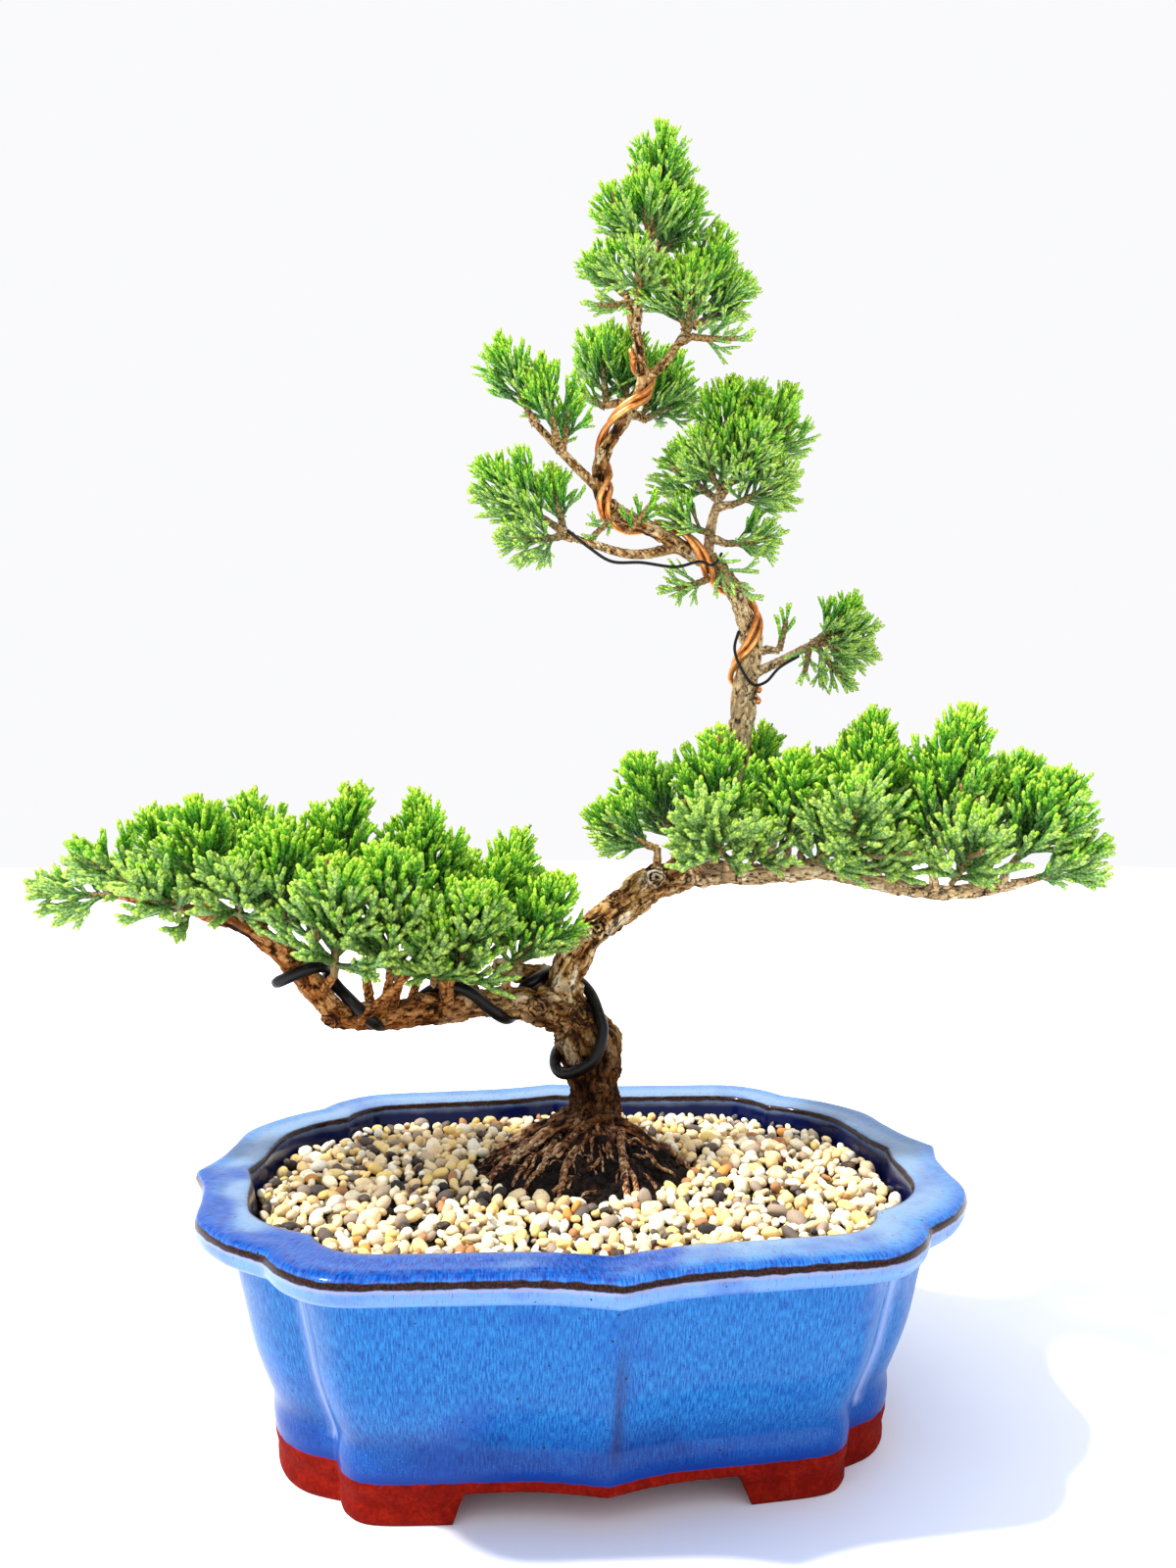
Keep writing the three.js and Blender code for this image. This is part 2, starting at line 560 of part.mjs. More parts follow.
function makeWires(swell) {
  return {
    wire_black_heavy: wireSolid(toVectors(heavyRoute), heavyWire + swell, 6, 4.5),
    wire_copper_a: wireSolid(copperPoints(0), copperWire + swell, 5, 4),
    wire_copper_b: wireSolid(copperPoints(copperPitch), copperWire + swell, 5, 4),
    wire_thin_right: wireSolid(toVectors(thinRouteRight), thinWire + swell, 4, 2.6),
    wire_thin_left: wireSolid(toVectors(thinRouteLeft), thinWire + swell, 4, 3),
  };
}

function makeWood() {
  const solids = Object.keys(limbs).map((name, i) => limbSolid(name, 11 + i));
  solids.push(...knots.map(knotSolid));
  solids.push(...sprays.map(twigSolid));
  return wasm.Manifold.union(solids);
}

// Distance between two straight stretches, for keeping shoots clear of what stands near them
function stretchDistance(a0, a1, b0, b1) {
  const u = a1.clone().sub(a0);
  const v = b1.clone().sub(b0);
  const w = a0.clone().sub(b0);
  const uu = u.dot(u);
  const uv = u.dot(v);
  const vv = v.dot(v);
  const uw = u.dot(w);
  const vw = v.dot(w);
  const clamp = (x) => Math.min(Math.max(x, 0), 1);
  const spread = uu * vv - uv * uv;
  let s = spread > 1e-9 ? clamp((uv * vw - vv * uw) / spread) : 0;
  const t = clamp((uv * s + vw) / vv);
  s = clamp((uv * t - uw) / uu);
  return a0.clone().addScaledVector(u, s).distanceTo(b0.clone().addScaledVector(v, t));
}

// Shoots of one spray may stand closer than those of two, and leave their own stem alone
function isClear(start, end, owner, taken) {
  return taken.every((other) => {
    const own = other.owner === owner;
    if (own && !other.shoot) return true;
    const room = own ? shootRadius * 1.5 : shootRadius + other.radius + clearance;
    return stretchDistance(start, end, other.start, other.end) > room;
  });
}

// What the sprays have to stay clear of: limbs, twigs and wires, as straight stretches
function takenByWood() {
  const taken = [];
  const take = (points, radiusAt, owner) => {
    for (let i = 0; i < points.length - 1; i += 1) {
      const radius = radiusAt(i / (points.length - 1));
      taken.push({ start: points[i], end: points[i + 1], radius, owner });
    }
  };
  for (const [name, limb] of Object.entries(limbs)) take(limb.path.getPoints(20), limb.radiusAt, name);
  for (const [name, limb, t, root] of sprays) {
    take([limbs[limb].path.getPoint(t), new THREE.Vector3(...root)], () => twigRoom, `twig_${name}`);
  }
  take(toVectors(heavyRoute), () => heavyWire + 0.4, 'heavy');
  take(copperPoints(copperPitch / 2), () => copperWire * 2 + 0.5, 'copper');
  take(toVectors(thinRouteRight), () => thinWire + 0.3, 'thin');
  take(toVectors(thinRouteLeft), () => thinWire + 0.3, 'thin');
  return taken;
}

// One spray's slim stem: a run of four-sided rings from its root toward its tip
function sprayStem([name, , , root, tip, width]) {
  const from = new THREE.Vector3(...root);
  const to = new THREE.Vector3(...tip);
  const along = to.clone().sub(from);
  const start = from.clone().addScaledVector(along.clone().normalize(), stemGap);
  const bend = from.clone().addScaledVector(along, stemBend.along);
  bend.z -= stemBend.sag * along.length();
  const end = from.clone().addScaledVector(along, stemShare);
  const path = new THREE.QuadraticBezierCurve3(start, bend, end);
  const count = Math.max(3, Math.round(path.getLength() / ringStep));
  const points = path.getPoints(count);
  const frames = framesAlong(points);
  const rings = points.map((point, i) => [0, 1, 2, 3].map((k) => {
    const reach = stemRadius * (i ? 1 - stemTaper * (i / count) : 0.65);
    const angle = (k + 0.5) * Math.PI / 2;
    return point.clone()
      .addScaledVector(frames[i].side, reach * Math.cos(angle))
      .addScaledVector(frames[i].other, reach * Math.sin(angle));
  }));
  return { name, width, count, points, frames, rings, reach: along.length(), shoots: new Map() };
}

// The middle of one face between two rings, and the way it faces
function stemFace(stem, segment, k) {
  const corners = [stem.rings[segment][k], stem.rings[segment][(k + 1) % 4],
    stem.rings[segment + 1][(k + 1) % 4], stem.rings[segment + 1][k]];
  const middle = corners.reduce((sum, p) => sum.add(p), new THREE.Vector3()).multiplyScalar(0.25);
  const axis = stem.points[segment].clone().lerp(stem.points[segment + 1], 0.5);
  return { corners, middle, outward: middle.clone().sub(axis).normalize() };
}

// One shoot's tip, or null where a full or a shorter shoot would meet something else
function shootTip(stem, segment, k, random, taken) {
  const { middle, outward } = stemFace(stem, segment, k);
  const share = segment / stem.count;
  const lean = THREE.MathUtils.degToRad(leanAtRoot - leanLoss * share);
  const direction = stem.frames[segment].tangent.clone().multiplyScalar(Math.cos(lean))
    .addScaledVector(outward, Math.sin(lean))
    .add(new THREE.Vector3(stray * (random() - 0.5), stray * (random() - 0.5), lift));
  direction.normalize();
  if (direction.dot(outward) < leastOutward) {
    direction.addScaledVector(outward, leastOutward).normalize();
  }
  const swell = Math.sin(Math.PI * Math.min(1, 0.2 + 0.62 * share));
  const { least, swell: gain, tries } = shootLengths;
  const full = stem.width * (least + gain * swell) * (0.85 + 0.3 * random());
  for (const length of tries.map((part) => full * part)) {
    const start = middle.clone().addScaledVector(direction, firstClear);
    const end = middle.clone().addScaledVector(direction, length);
    if (isClear(start, end, stem.name, taken)) {
      taken.push({ start, end, radius: shootRadius, owner: stem.name, shoot: true });
      return end;
    }
  }
  return null;
}

// A stem with its shoots, as one closed surface: a face that carries a shoot rises to its tip
function sprayGeometry(stem) {
  const points = [...stem.rings.flat()];
  const faces = [[0, 3, 2], [0, 2, 1]];
  for (let segment = 0; segment < stem.count; segment += 1) {
    for (let k = 0; k < 4; k += 1) {
      const next = (k + 1) % 4;
      const ring = [segment * 4 + k, segment * 4 + next, segment * 4 + 4 + next, segment * 4 + 4 + k];
      const tip = stem.shoots.get(segment * 4 + k);
      if (tip) {
        points.push(tip);
        ring.forEach((corner, i) => faces.push([corner, ring[(i + 1) % 4], points.length - 1]));
      } else {
        faces.push([ring[0], ring[1], ring[2]], [ring[0], ring[2], ring[3]]);
      }
    }
  }
  const top = stem.count * 4;
  points.push(stem.points.at(-1).clone().addScaledVector(stem.frames.at(-1).tangent, stem.tipLength));
  for (let k = 0; k < 4; k += 1) faces.push([top + k, top + (k + 1) % 4, points.length - 1]);
  const geometry = new THREE.BufferGeometry().setFromPoints(points);
  geometry.setIndex(faces.flat());
  geometry.computeVertexNormals();
  return geometry;
}

// All the sprays grow together, a ring each in turn from their tips back, so that none
// crowds out another
function makeSprays() {
  const taken = takenByWood();
  const stems = sprays.map(sprayStem);
  for (const stem of stems) {
    stem.tipLength = stem.reach * (1 - stemShare);
    const tip = stem.points.at(-1).clone().addScaledVector(stem.frames.at(-1).tangent, stem.tipLength);
    [...stem.points, tip].forEach((end, i, all) => {
      if (i) taken.push({ start: all[i - 1], end, radius: stemRadius, owner: stem.name });
    });
  }
  const randoms = stems.map((stem, i) => seeded(1000 + 97 * i));
  const longest = Math.max(...stems.map((stem) => stem.count));
  for (let back = 1; back < longest; back += 1) {
    stems.forEach((stem, i) => {
      const segment = stem.count - back;
      if (segment < 1) return;
      for (const k of [segment % 2, segment % 2 + 2]) {
        const tip = shootTip(stem, segment, k, randoms[i], taken);
        if (tip) stem.shoots.set(segment * 4 + k, tip);
      }
    });
  }
  return stems.map((stem) => named(`spray_${stem.name}`, sprayGeometry(stem), materials.foliage));
}

// The whole tree, with the pot's middle on the ground as the reference point
function makeBonsai() {
  const group = new THREE.Group();
  const wires = makeWires(0);
  const swollenWires = wasm.Manifold.union(Object.values(makeWires(wireRoom)));
  const wood = makeWood();
  const roots = Object.keys(limbs).filter((name) => name.startsWith('root') || name === 'trunk');
  const holes = wasm.Manifold.union(roots.map((name) => limbSolid(name, 0, rootGap)));
  group.add(named('pot', toGeometry(makePot().simplify(0.05)), materials.glaze));
  const screens = [makeScreen(-drainSpacing / 2), makeScreen(drainSpacing / 2)];
  group.add(named('drain_screen_left', toGeometry(screens[0]), materials.screen));
  group.add(named('drain_screen_right', toGeometry(screens[1]), materials.screen));
  const pockets = [-1, 1].map((sign) => {
    const pocket = new THREE.BoxGeometry(screenSide + 1, screenSide + 1, 5);
    pocket.translate(sign * drainSpacing / 2, 0, floorTop + screenThick + 2 * seatGap - 2.5);
    return toSolid(pocket);
  });
  const soil = makeSoil(holes.add(wasm.Manifold.union(pockets)));
  group.add(named('soil', toGeometry(soil.simplify(0.08)), materials.soil));
  group.add(named('gravel', toGeometry(makeGravel(holes).simplify(0.03)), materials.gravel));
  const notchedWood = largestBody(wood.subtract(swollenWires)).simplify(0.12);
  group.add(named('wood', toGeometry(largestBody(notchedWood)), materials.bark));
  for (const [name, solid] of Object.entries(wires)) {
    const material = name.includes('copper') ? materials.copper : materials.blackWire;
    group.add(named(name, toGeometry(solid), material));
  }
  group.add(...makeSprays());
  return group;
}

const bonsai = makeBonsai();
bonsai.updateMatrixWorld(true);
const bounds = new THREE.Box3().setFromObject(bonsai);
bonsai.position.set(-(bounds.min.x + bounds.max.x) / 2, -(bounds.min.y + bounds.max.y) / 2, 0);

export default bonsai;
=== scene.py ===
import math
import random

import bpy
import numpy as np
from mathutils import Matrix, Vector, noise
from mathutils.kdtree import KDTree


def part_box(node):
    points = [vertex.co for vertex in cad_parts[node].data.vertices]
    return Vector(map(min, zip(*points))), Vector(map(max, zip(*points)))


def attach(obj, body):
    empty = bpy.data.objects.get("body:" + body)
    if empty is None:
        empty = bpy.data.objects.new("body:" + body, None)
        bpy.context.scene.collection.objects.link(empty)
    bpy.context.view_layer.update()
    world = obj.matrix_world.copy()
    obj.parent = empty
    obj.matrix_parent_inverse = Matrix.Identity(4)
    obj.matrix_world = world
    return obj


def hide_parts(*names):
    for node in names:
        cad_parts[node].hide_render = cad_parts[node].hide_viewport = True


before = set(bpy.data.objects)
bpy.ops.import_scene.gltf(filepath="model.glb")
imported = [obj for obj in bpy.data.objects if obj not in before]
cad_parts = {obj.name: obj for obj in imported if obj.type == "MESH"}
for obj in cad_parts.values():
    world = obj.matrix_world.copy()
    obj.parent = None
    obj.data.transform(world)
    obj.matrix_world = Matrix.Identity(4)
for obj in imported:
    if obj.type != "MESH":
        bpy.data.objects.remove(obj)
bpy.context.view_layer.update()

# Tables of places and sizes are in millimetres from the middle of the pot's foot, as in the
# part's source. X runs along the pot's long side and -Y faces the viewer.
MM = 0.001
pot_low, pot_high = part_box("pot")
POT_MIDDLE = np.array([(pot_low.x + pot_high.x) / 2, (pot_low.y + pot_high.y) / 2, 0.0])

# The viewer, from the photograph
CAMERA_PLACE = (-38.0, -355.5, 174.0)
CAMERA_YAW = 6.56
CAMERA_PITCH = 0.62
FOCAL_PIXELS = 1250
PHOTO_HEIGHT = 1600
SENSOR = 36.0

# The pot's driving dimensions
POT_HEIGHT = 69.5
FOOT_HEIGHT = 8.0
GLAZE_LINE = 11.0
FLOOR_TOP = 12.0
LEDGE = 6.5
WALL_FOOT = 18.0
ARCH_HALF_LONG = 37.0
ARCH_HALF_SHORT = 20.0
ARCH_SLANT = 3.4
DRAIN_RADIUS = 7.0
DRAIN_SPACING = 72.0
RIM_LONG = [(0, 93), (17, 88), (41, 86), (63, 84), (74, 76), (80, 66)]
RIM_SHORT = [(80, 66), (91, 56), (100, 41), (102, 25), (104, 12), (108, 0)]
FOOT_LONG = [(0, 65), (17, 60.5), (40, 59), (56, 57), (62, 52), (64, 46)]
FOOT_SHORT = [(64, 46), (73, 41), (79, 33), (82, 22), (82.5, 10), (84, 0)]

# The pot's section, as height and growth of the plan from foot (0) to rim (1)
OUTSIDE = [
    (0, -0.012), (0.8, 0.004), (LEDGE - 0.6, 0.006), (LEDGE, 0.022), (8.6, 0.045), (GLAZE_LINE, 0.052),
    (14, 0.07), (16, 0.07), (WALL_FOOT, 0.064), (20.5, 0.088), (24, 0.15), (33, 0.3),
    (46, 0.44), (54.5, 0.53), (58.8, 0.572), (60.7, 0.65), (61.8, 0.85), (62.8, 0.95), (65.4, 1),
    (68.2, 0.992),
]
RIM_TOP = [(69.2, 0.965), (POT_HEIGHT, 0.925), (69.35, 0.7), (69.15, 0.45), (68.9, 0.4), (68.2, 0.385)]
INSIDE = [(64, 0.345), (40, 0.18), (FLOOR_TOP + 2, -0.26), (FLOOR_TOP, -0.3)]

# How many millimetres of the section a growth of 1 stands for, and the pot's fineness
GROWTH_REACH = 25.0
SECTION_STEP = 1.7
POINTS_PER_SIDE = 30
CUT_REACH = 130.0

# Room between pieces that lie on each other
SEAT_GAP = 0.3

# Soil: its section in the pot as height and growth, and its mound as rise and height
SOIL_TOP = 58.0
SOIL_SECTION = [(FLOOR_TOP + SEAT_GAP, -0.33), (40, 0.0536), (SOIL_TOP, 0.3002)]
SOIL_POINTS = 200
SOIL_CRUMBS = 760
MOUND_FOOT = (3.0, 14.0)
MOUND_TOP = (6.0, 27.0)
MOUND_RADIUS = 34.0
MOUND_TAPER = 0.78
MOUND_STEPS = [(-0.12, 58.0), (0.12, 61.4), (0.45, 66.2), (0.8, 70.0), (1.0, 71.5)]
MOUND_LOW = MOUND_STEPS[0][0]

# Gravel: the layers of pebbles as height, number and closeness, and the cells of their colours
GRAVEL_BED = 60.4
GRAVEL_TOP = 62.7
PEBBLE_LAYERS = [(GRAVEL_BED, 700, 0.86), (GRAVEL_TOP, 1150, 0.8)]
PEBBLE_CELLS = 50

# Wires, as radii
HEAVY_WIRE = 1.8
COPPER_WIRE = 0.95
COPPER_PITCH = 3.9
THIN_WIRE = 0.5

# Limbs of the tree: points along the middle of the wood, each with its radius
LIMBS = {
    "trunk": [(8, 30, 40, 9), (8.5, 30, 62, 8.8), (8.7, 30, 73, 8.2), (8, 29, 84, 7.5),
        (6, 28, 97, 10), (-1.7, 27, 113.5, 5.8), (1.7, 27, 124.5, 5.6), (8.5, 27, 133.5, 5.3),
        (17, 26.5, 139.5, 5.3), (26.7, 26, 147, 5.8), (37.4, 24.5, 150.4, 4.9)],
    "left": [(-0.2, 27, 106, 7.6), (-12.7, 24, 110, 5.4), (-25, 21, 111, 4.3), (-43.3, 17, 110.2, 4.6),
        (-58.5, 13, 109.5, 4.3), (-69.2, 11, 110.2, 3.7), (-76.1, 10, 117.7, 3.5),
        (-83.2, 10, 126.4, 3.6), (-99, 10, 137.8, 2.8), (-113, 9, 142, 2.1), (-126, 8, 145, 1.6)],
    "right": [(37, 25, 151, 4.8), (54.6, 20, 150, 3.4), (76, 12, 151.2, 2.8), (94, 6, 147.7, 2.6),
        (109, 0, 145.6, 2.3), (121.6, -4, 146.3, 2.1), (130.5, -6, 148, 1.6)],
    "upper": [(35, 26, 150, 4.8), (46, 33, 160, 4.4), (55, 37, 180, 4.1), (58, 38, 201, 3.9),
        (59, 38, 211, 3.8), (61, 37, 223, 3.5), (57, 35, 236, 3), (50, 32, 246, 2.9),
        (38, 29, 253, 2.8), (25, 26, 259, 2.6), (13, 24, 264, 2.5), (9, 23, 270, 2.4),
        (10, 22, 280, 2.2), (16, 21, 291, 2), (22, 20, 302, 1.9), (22, 19, 309, 1.8),
        (20, 18, 319, 1.6), (21, 16, 332, 1.4), (24, 14, 347, 1.1)],
    "stub": [(-1, 31, 115, 4.2), (-6, 34, 116, 3.9), (-15, 36, 118, 3.6), (-23.5, 34, 120.5, 2.6)],
    "leader": [(23, 20, 303, 1.6), (31, 21, 312, 1.4), (36, 21, 320, 1.1)],
    "leftTwig": [(36, 29, 254, 1.9), (20, 23, 250, 1.6), (6, 18, 252, 1.4), (-2, 16, 254, 1.1)],
    "upLeftTwig": [(8, 23, 271, 1.6), (-3, 21, 281, 1.4), (-11, 20, 289, 1.1)],
    "rightTwig": [(45, 31, 249, 1.9), (46, 28, 262, 1.7), (48, 24, 270, 1.2)],
    "smallTwig": [(61, 37, 214, 1.7), (71, 33, 219, 1.4), (79, 28.5, 223.5, 1.1)],
    "rootA": [(6, 27, 74, 3), (-6, 20, 71.5, 2), (-18, 12, 66, 1.7), (-27, 6, 61.5, 1.2)],
    "rootB": [(5, 25, 73, 2.8), (-3, 13, 68.5, 1.9), (-11, 3, 64, 1.6), (-16, -6, 60.5, 1.1)],
    "rootC": [(6, 24, 73, 2.7), (2, 12, 68.5, 1.8), (-2, 0, 63.5, 1.5), (-3, -9, 60.5, 1)],
    "rootD": [(9, 25, 73, 3), (11, 14, 69, 2.1), (12, 3, 64.5, 1.7), (15, -7, 60.5, 1.1)],
    "rootE": [(11, 28, 73, 3), (22, 22, 69, 1.9), (30, 15, 62, 1.3)],
    "rootF": [(3, 31, 74, 3), (-12, 33, 68, 1.9), (-24, 33, 61.5, 1.2)],
}
THICK_LIMBS = ["trunk", "left", "right", "upper", "stub",
               "rootA", "rootB", "rootC", "rootD", "rootE", "rootF"]
TWIGS = ["leader", "leftTwig", "upLeftTwig", "rightTwig", "smallTwig"]

# Healed knots: limb, place on it, direction, size
KNOTS = [
    ("trunk", 0.7, (0, -1, 0.1), 4.6), ("trunk", 0.9, (0.4, -0.8, 0.5), 3.8),
    ("trunk", 0.8, (-0.6, -0.5, 0.6), 3.4), ("trunk", 0.455, (0.3, -1, 0.2), 4.8),
    ("left", 0.09, (0.1, -1, 0.1), 4), ("upper", 0.565, (0.2, -1, -0.2), 2.9),
    ("upper", 0.4, (0.8, -0.6, 0), 3), ("left", 0.52, (0, -0.6, -0.9), 3.4),
]

# Short scaly or broken-off stems that stand on the limbs, each with its radii
SCALY_STEMS = [
    [(-60, 13, 110, 1.6), (-61, 9, 118, 1.5), (-62, 6, 127, 1.2)],
    [(-57, 13, 111, 1.5), (-55, 8, 119, 1.4), (-54, 6, 128, 1.1)],
    [(-38, 17, 112, 2.6), (-38, 14, 119, 2.4), (-38, 12, 127, 1.8)],
    [(-64, 7, 108, 1.5), (-57, 4, 115, 1.4), (-48, 1, 124, 1.1), (-43, 0, 129, 0.9)],
    [(92, 7, 150, 2.0), (92, 4, 156, 1.9), (92, 3, 159, 1.8)],
    [(77, 11, 153, 1.6), (77, 8, 159, 1.5), (77, 6, 164, 1.2)],
    [(60, 18, 152, 1.7), (61, 12, 159, 1.5), (62, 8, 168, 1.2)],
]

# Foliage sprays: name, limb and place that the twig grows from, root, tip, width
SPRAYS = [
    ("left_tip", "left", 0.99, (-131, 8, 146), (-158, 14, 148), 26),
    ("left_b", "left", 0.96, (-123, 5, 148), (-140, -8, 161), 26),
    ("left_c", "left", 0.9, (-114, 12, 146), (-128, 22, 170), 28),
    ("left_d", "left", 0.82, (-104, 8, 143), (-109, 0, 174), 36),
    ("left_e", "left", 0.85, (-108, 3, 141), (-121, -24, 153), 30),
    ("left_f", "left", 0.76, (-91, 14, 137), (-98, 26, 176), 36),
    ("left_g", "left", 0.7, (-84, 3, 134), (-84, -12, 168), 36),
    ("left_h", "left", 0.66, (-77, 12, 131), (-64, 8, 178), 36),
    ("left_i", "left", 0.58, (-70, 2, 123), (-66, -32, 157), 36),
    ("left_j", "left", 0.34, (-46, 19, 120), (-46, 14, 176), 40),
    ("left_k", "left", 0.37, (-52, 10, 118), (-56, -22, 161), 38),
    ("left_l", "left", 0.22, (-31, 20, 119), (-15, 14, 164), 38),
    ("left_m", "left", 0.17, (-20, 14, 120), (-2, 3, 151), 28),
    ("left_n", "left", 0.25, (-36, 27, 119), (-30, 50, 156), 38),
    ("left_o", "left", 0.63, (-77, 18, 127), (-81, 50, 162), 38),
    ("left_p", "left", 0.86, (-107, 16, 143), (-123, 46, 163), 36),
    ("right_a", "trunk", 0.92, (27, 20, 158), (4, 18, 169), 32),
    ("right_b", "trunk", 0.95, (36, 30, 158), (21, 37, 188), 32),
    ("right_c", "right", 0.08, (45, 18, 158), (44, 8, 195), 38),
    ("right_d", "upper", 0.05, (56, 39, 166), (71, 50, 198), 36),
    ("right_e", "right", 0.12, (48, 14, 155), (30, -22, 171), 32),
    ("right_f", "right", 0.26, (66, 12, 157), (67, 0, 188), 36),
    ("right_g", "right", 0.3, (72, 19, 156), (91, 44, 187), 38),
    ("right_h", "right", 0.48, (88, 10, 156), (94, 10, 201), 38),
    ("right_i", "right", 0.4, (82, 4, 155), (76, -28, 178), 36),
    ("right_j", "right", 0.56, (98, 10, 154), (126, 36, 187), 38),
    ("right_k", "right", 0.66, (107, 0, 152), (120, 2, 202), 38),
    ("right_l", "right", 0.8, (120, 2, 152), (149, 18, 187), 38),
    ("right_m", "right", 0.92, (128, -6, 152), (149, -9, 181), 36),
    ("right_n", "right", 0.99, (134, -7, 149), (158, -11, 160), 26),
    ("small_right", "smallTwig", 0.99, (82, 27, 225.5), (97.5, 21, 227.5), 28),
    ("small_sprig", "upper", 0.27, (69, 32, 221.6), (71, 29, 233), 10),
    ("right_up_a", "rightTwig", 0.99, (48, 22, 274), (50, 15, 304), 36),
    ("right_up_b", "rightTwig", 0.96, (51.5, 25, 274), (71, 20, 303), 38),
    ("right_up_c", "rightTwig", 0.75, (51, 21, 266), (67, 4, 273), 32),
    ("right_up_d", "rightTwig", 0.3, (50, 27, 255), (66, 20, 256), 26),
    ("right_up_e", "rightTwig", 0.9, (47, 29, 270), (33, 40, 287), 30),
    ("low_left_a", "leftTwig", 0.99, (-5, 16, 256.5), (-30, 10, 273.5), 30),
    ("low_left_b", "leftTwig", 0.93, (-3, 12, 253), (-23, 3, 249), 26),
    ("up_left_a", "upLeftTwig", 0.99, (-13, 19.5, 292), (-23.5, 14, 313), 28),
    ("up_left_b", "upLeftTwig", 0.5, (-4.5, 18, 283), (-10.5, 12, 307), 26),
    ("mid_a", "upper", 0.75, (12, 28, 298), (11, 37, 326), 30),
    ("mid_b", "upper", 0.735, (24, 28, 294), (41, 39, 308), 26),
    ("top_right_a", "leader", 0.99, (38, 21, 322), (47, 17, 352), 30),
    ("top_right_b", "leader", 0.8, (37, 17, 317), (53, 9, 314), 20),
    ("apex_a", "upper", 0.99, (25, 13.5, 350), (28, 12, 380), 28),
    ("apex_b", "upper", 0.93, (21, 11, 340), (8.5, 6, 356), 28),
    ("apex_c", "upper", 0.88, (17, 18, 329), (6, 27, 345), 28),
    ("apex_d", "upper", 0.94, (27, 19, 341), (39.5, 24, 366), 28),
]

# Sprigs that fill out the sprays: name, root, tip, width
EXTRA_SPRIGS = [
    ("sprig_a", (14, 22, 262), (5, 18, 253), 14), ("sprig_b", (18, 24, 257), (26, 20, 267), 12),
    ("sprig_c", (45, 30, 244), (31, 26, 239), 18), ("left_q", (-37, 18, 116), (-29, -18, 149), 34),
    ("left_r", (-96.5, 6.5, 139), (-95, -22, 156), 30), ("left_s", (-92, 9, 135), (-90, 22, 166), 28),
    ("left_u", (-42, 14, 118), (-40, -14, 140), 28), ("right_o", (113, -1, 148), (110, -34, 168), 32),
    ("right_p", (56, 17, 154), (53, -8, 166), 28), ("right_q", (72, 11, 154), (82, -12, 164), 28),
    ("right_r", (90, 5, 151), (92, -18, 162), 28), ("right_s", (64, 18, 154), (60, 34, 172), 28),
    ("right_t", (100, 5, 150), (106, 22, 168), 28),
    ("up_left_c", (-2.6, 21, 281.9), (0.9, 26, 300.7), 16),
    ("low_left_c", (-2.6, 18, 256.3), (-6, 24, 276.5), 22),
    ("mid_c", (17.7, 30, 297), (22.4, 40, 327.4), 26), ("mid_d", (12, 30, 298), (3.2, 30, 303.9), 16),
    ("mid_e", (23.7, 30, 295.9), (36.1, 44, 322.3), 22),
    ("apex_e", (20.7, 13, 327.8), (16.5, -6, 333.5), 26),
    ("apex_f", (23.5, 12, 339), (18.9, -2, 358.6), 26),
    ("apex_g", (26.4, 22, 343.5), (36.2, 34, 378.7), 26),
    ("apex_h", (18.7, 16, 326.5), (4.6, 10, 322.3), 14),
    ("top_right_c", (35.2, 16, 319.1), (24.4, 3, 333.9), 28),
    ("top_right_d", (39.1, 23, 322.2), (58.1, 28, 340.2), 28),
    ("top_right_e", (35.7, 15, 317.8), (33.9, 0, 333.6), 24),
    ("right_up_f", (45.8, 25, 257.4), (28.3, 26, 264.4), 24),
    ("right_up_g", (45.7, 26, 251.1), (57.7, 22, 236.3), 18),
    ("right_up_h", (46.9, 20, 270.2), (34.6, 4, 283), 30),
    ("right_up_i", (48.2, 19, 269.4), (55.9, -2, 285.4), 32),
    ("small_right_b", (79, 25, 223.1), (88.3, 20, 208.6), 24),
    ("small_right_c", (77, 25, 222.4), (73, 18, 210.7), 12),
    ("small_right_d", (79.5, 26, 224), (91, 20, 237), 22),
    ("small_right_e", (80.5, 27, 224.4), (97, 21, 218), 24),
    ("small_right_f", (80, 29, 224.5), (93, 34, 229), 22),
]
SPARSE_SPRIGS = ["apex_h", "sprig_a", "sprig_b", "right_up_g", "small_right_c", "top_right_b", "small_sprig"]
SPARSE_FULLNESS = 0.6
SPRAY_SEED = 500
SPRIG_SEED = 900

# The heavy wire's route, from its cut end over the left branch, round the trunk to its back
HEAVY_ROUTE = [
    (-87.5, 8.5, 120), (-82.5, 5.2, 122.5), (-77.5, 4.6, 124.5), (-74.5, 6.5, 125), (-73, 10, 124),
    (-72.5, 12.5, 121.5), (-70, 12.5, 118), (-66, 9.5, 114.5), (-62, 6.6, 111), (-59.5, 7.6, 108.5),
    (-57.5, 12.5, 106.5), (-54.5, 18, 106.5), (-51, 21.5, 108.5), (-46.5, 22, 112.5), (-41.5, 20, 116),
    (-37, 15.5, 117.5), (-31, 13.6, 115.5), (-26, 14.6, 111), (-22.5, 17, 108), (-19.5, 22, 106),
    (-16.5, 28, 107), (-15.5, 30.5, 110), (-14, 29, 114.5), (-11, 28.5, 116.5), (-7.5, 30.5, 118),
    (-2.5, 35, 118.5), (1.5, 36, 116.5), (4.5, 31.5, 115), (7, 26.5, 112), (8.5, 21.5, 107.5),
    (9.5, 18, 103), (8.5, 16.2, 98), (6.5, 15.8, 94), (3.5, 16.6, 91.5), (0, 18.6, 89.5),
    (-3, 21.5, 89), (-4.5, 25, 90.5), (-4, 29.5, 93), (-2, 35, 94.5), (1, 39, 96),
]
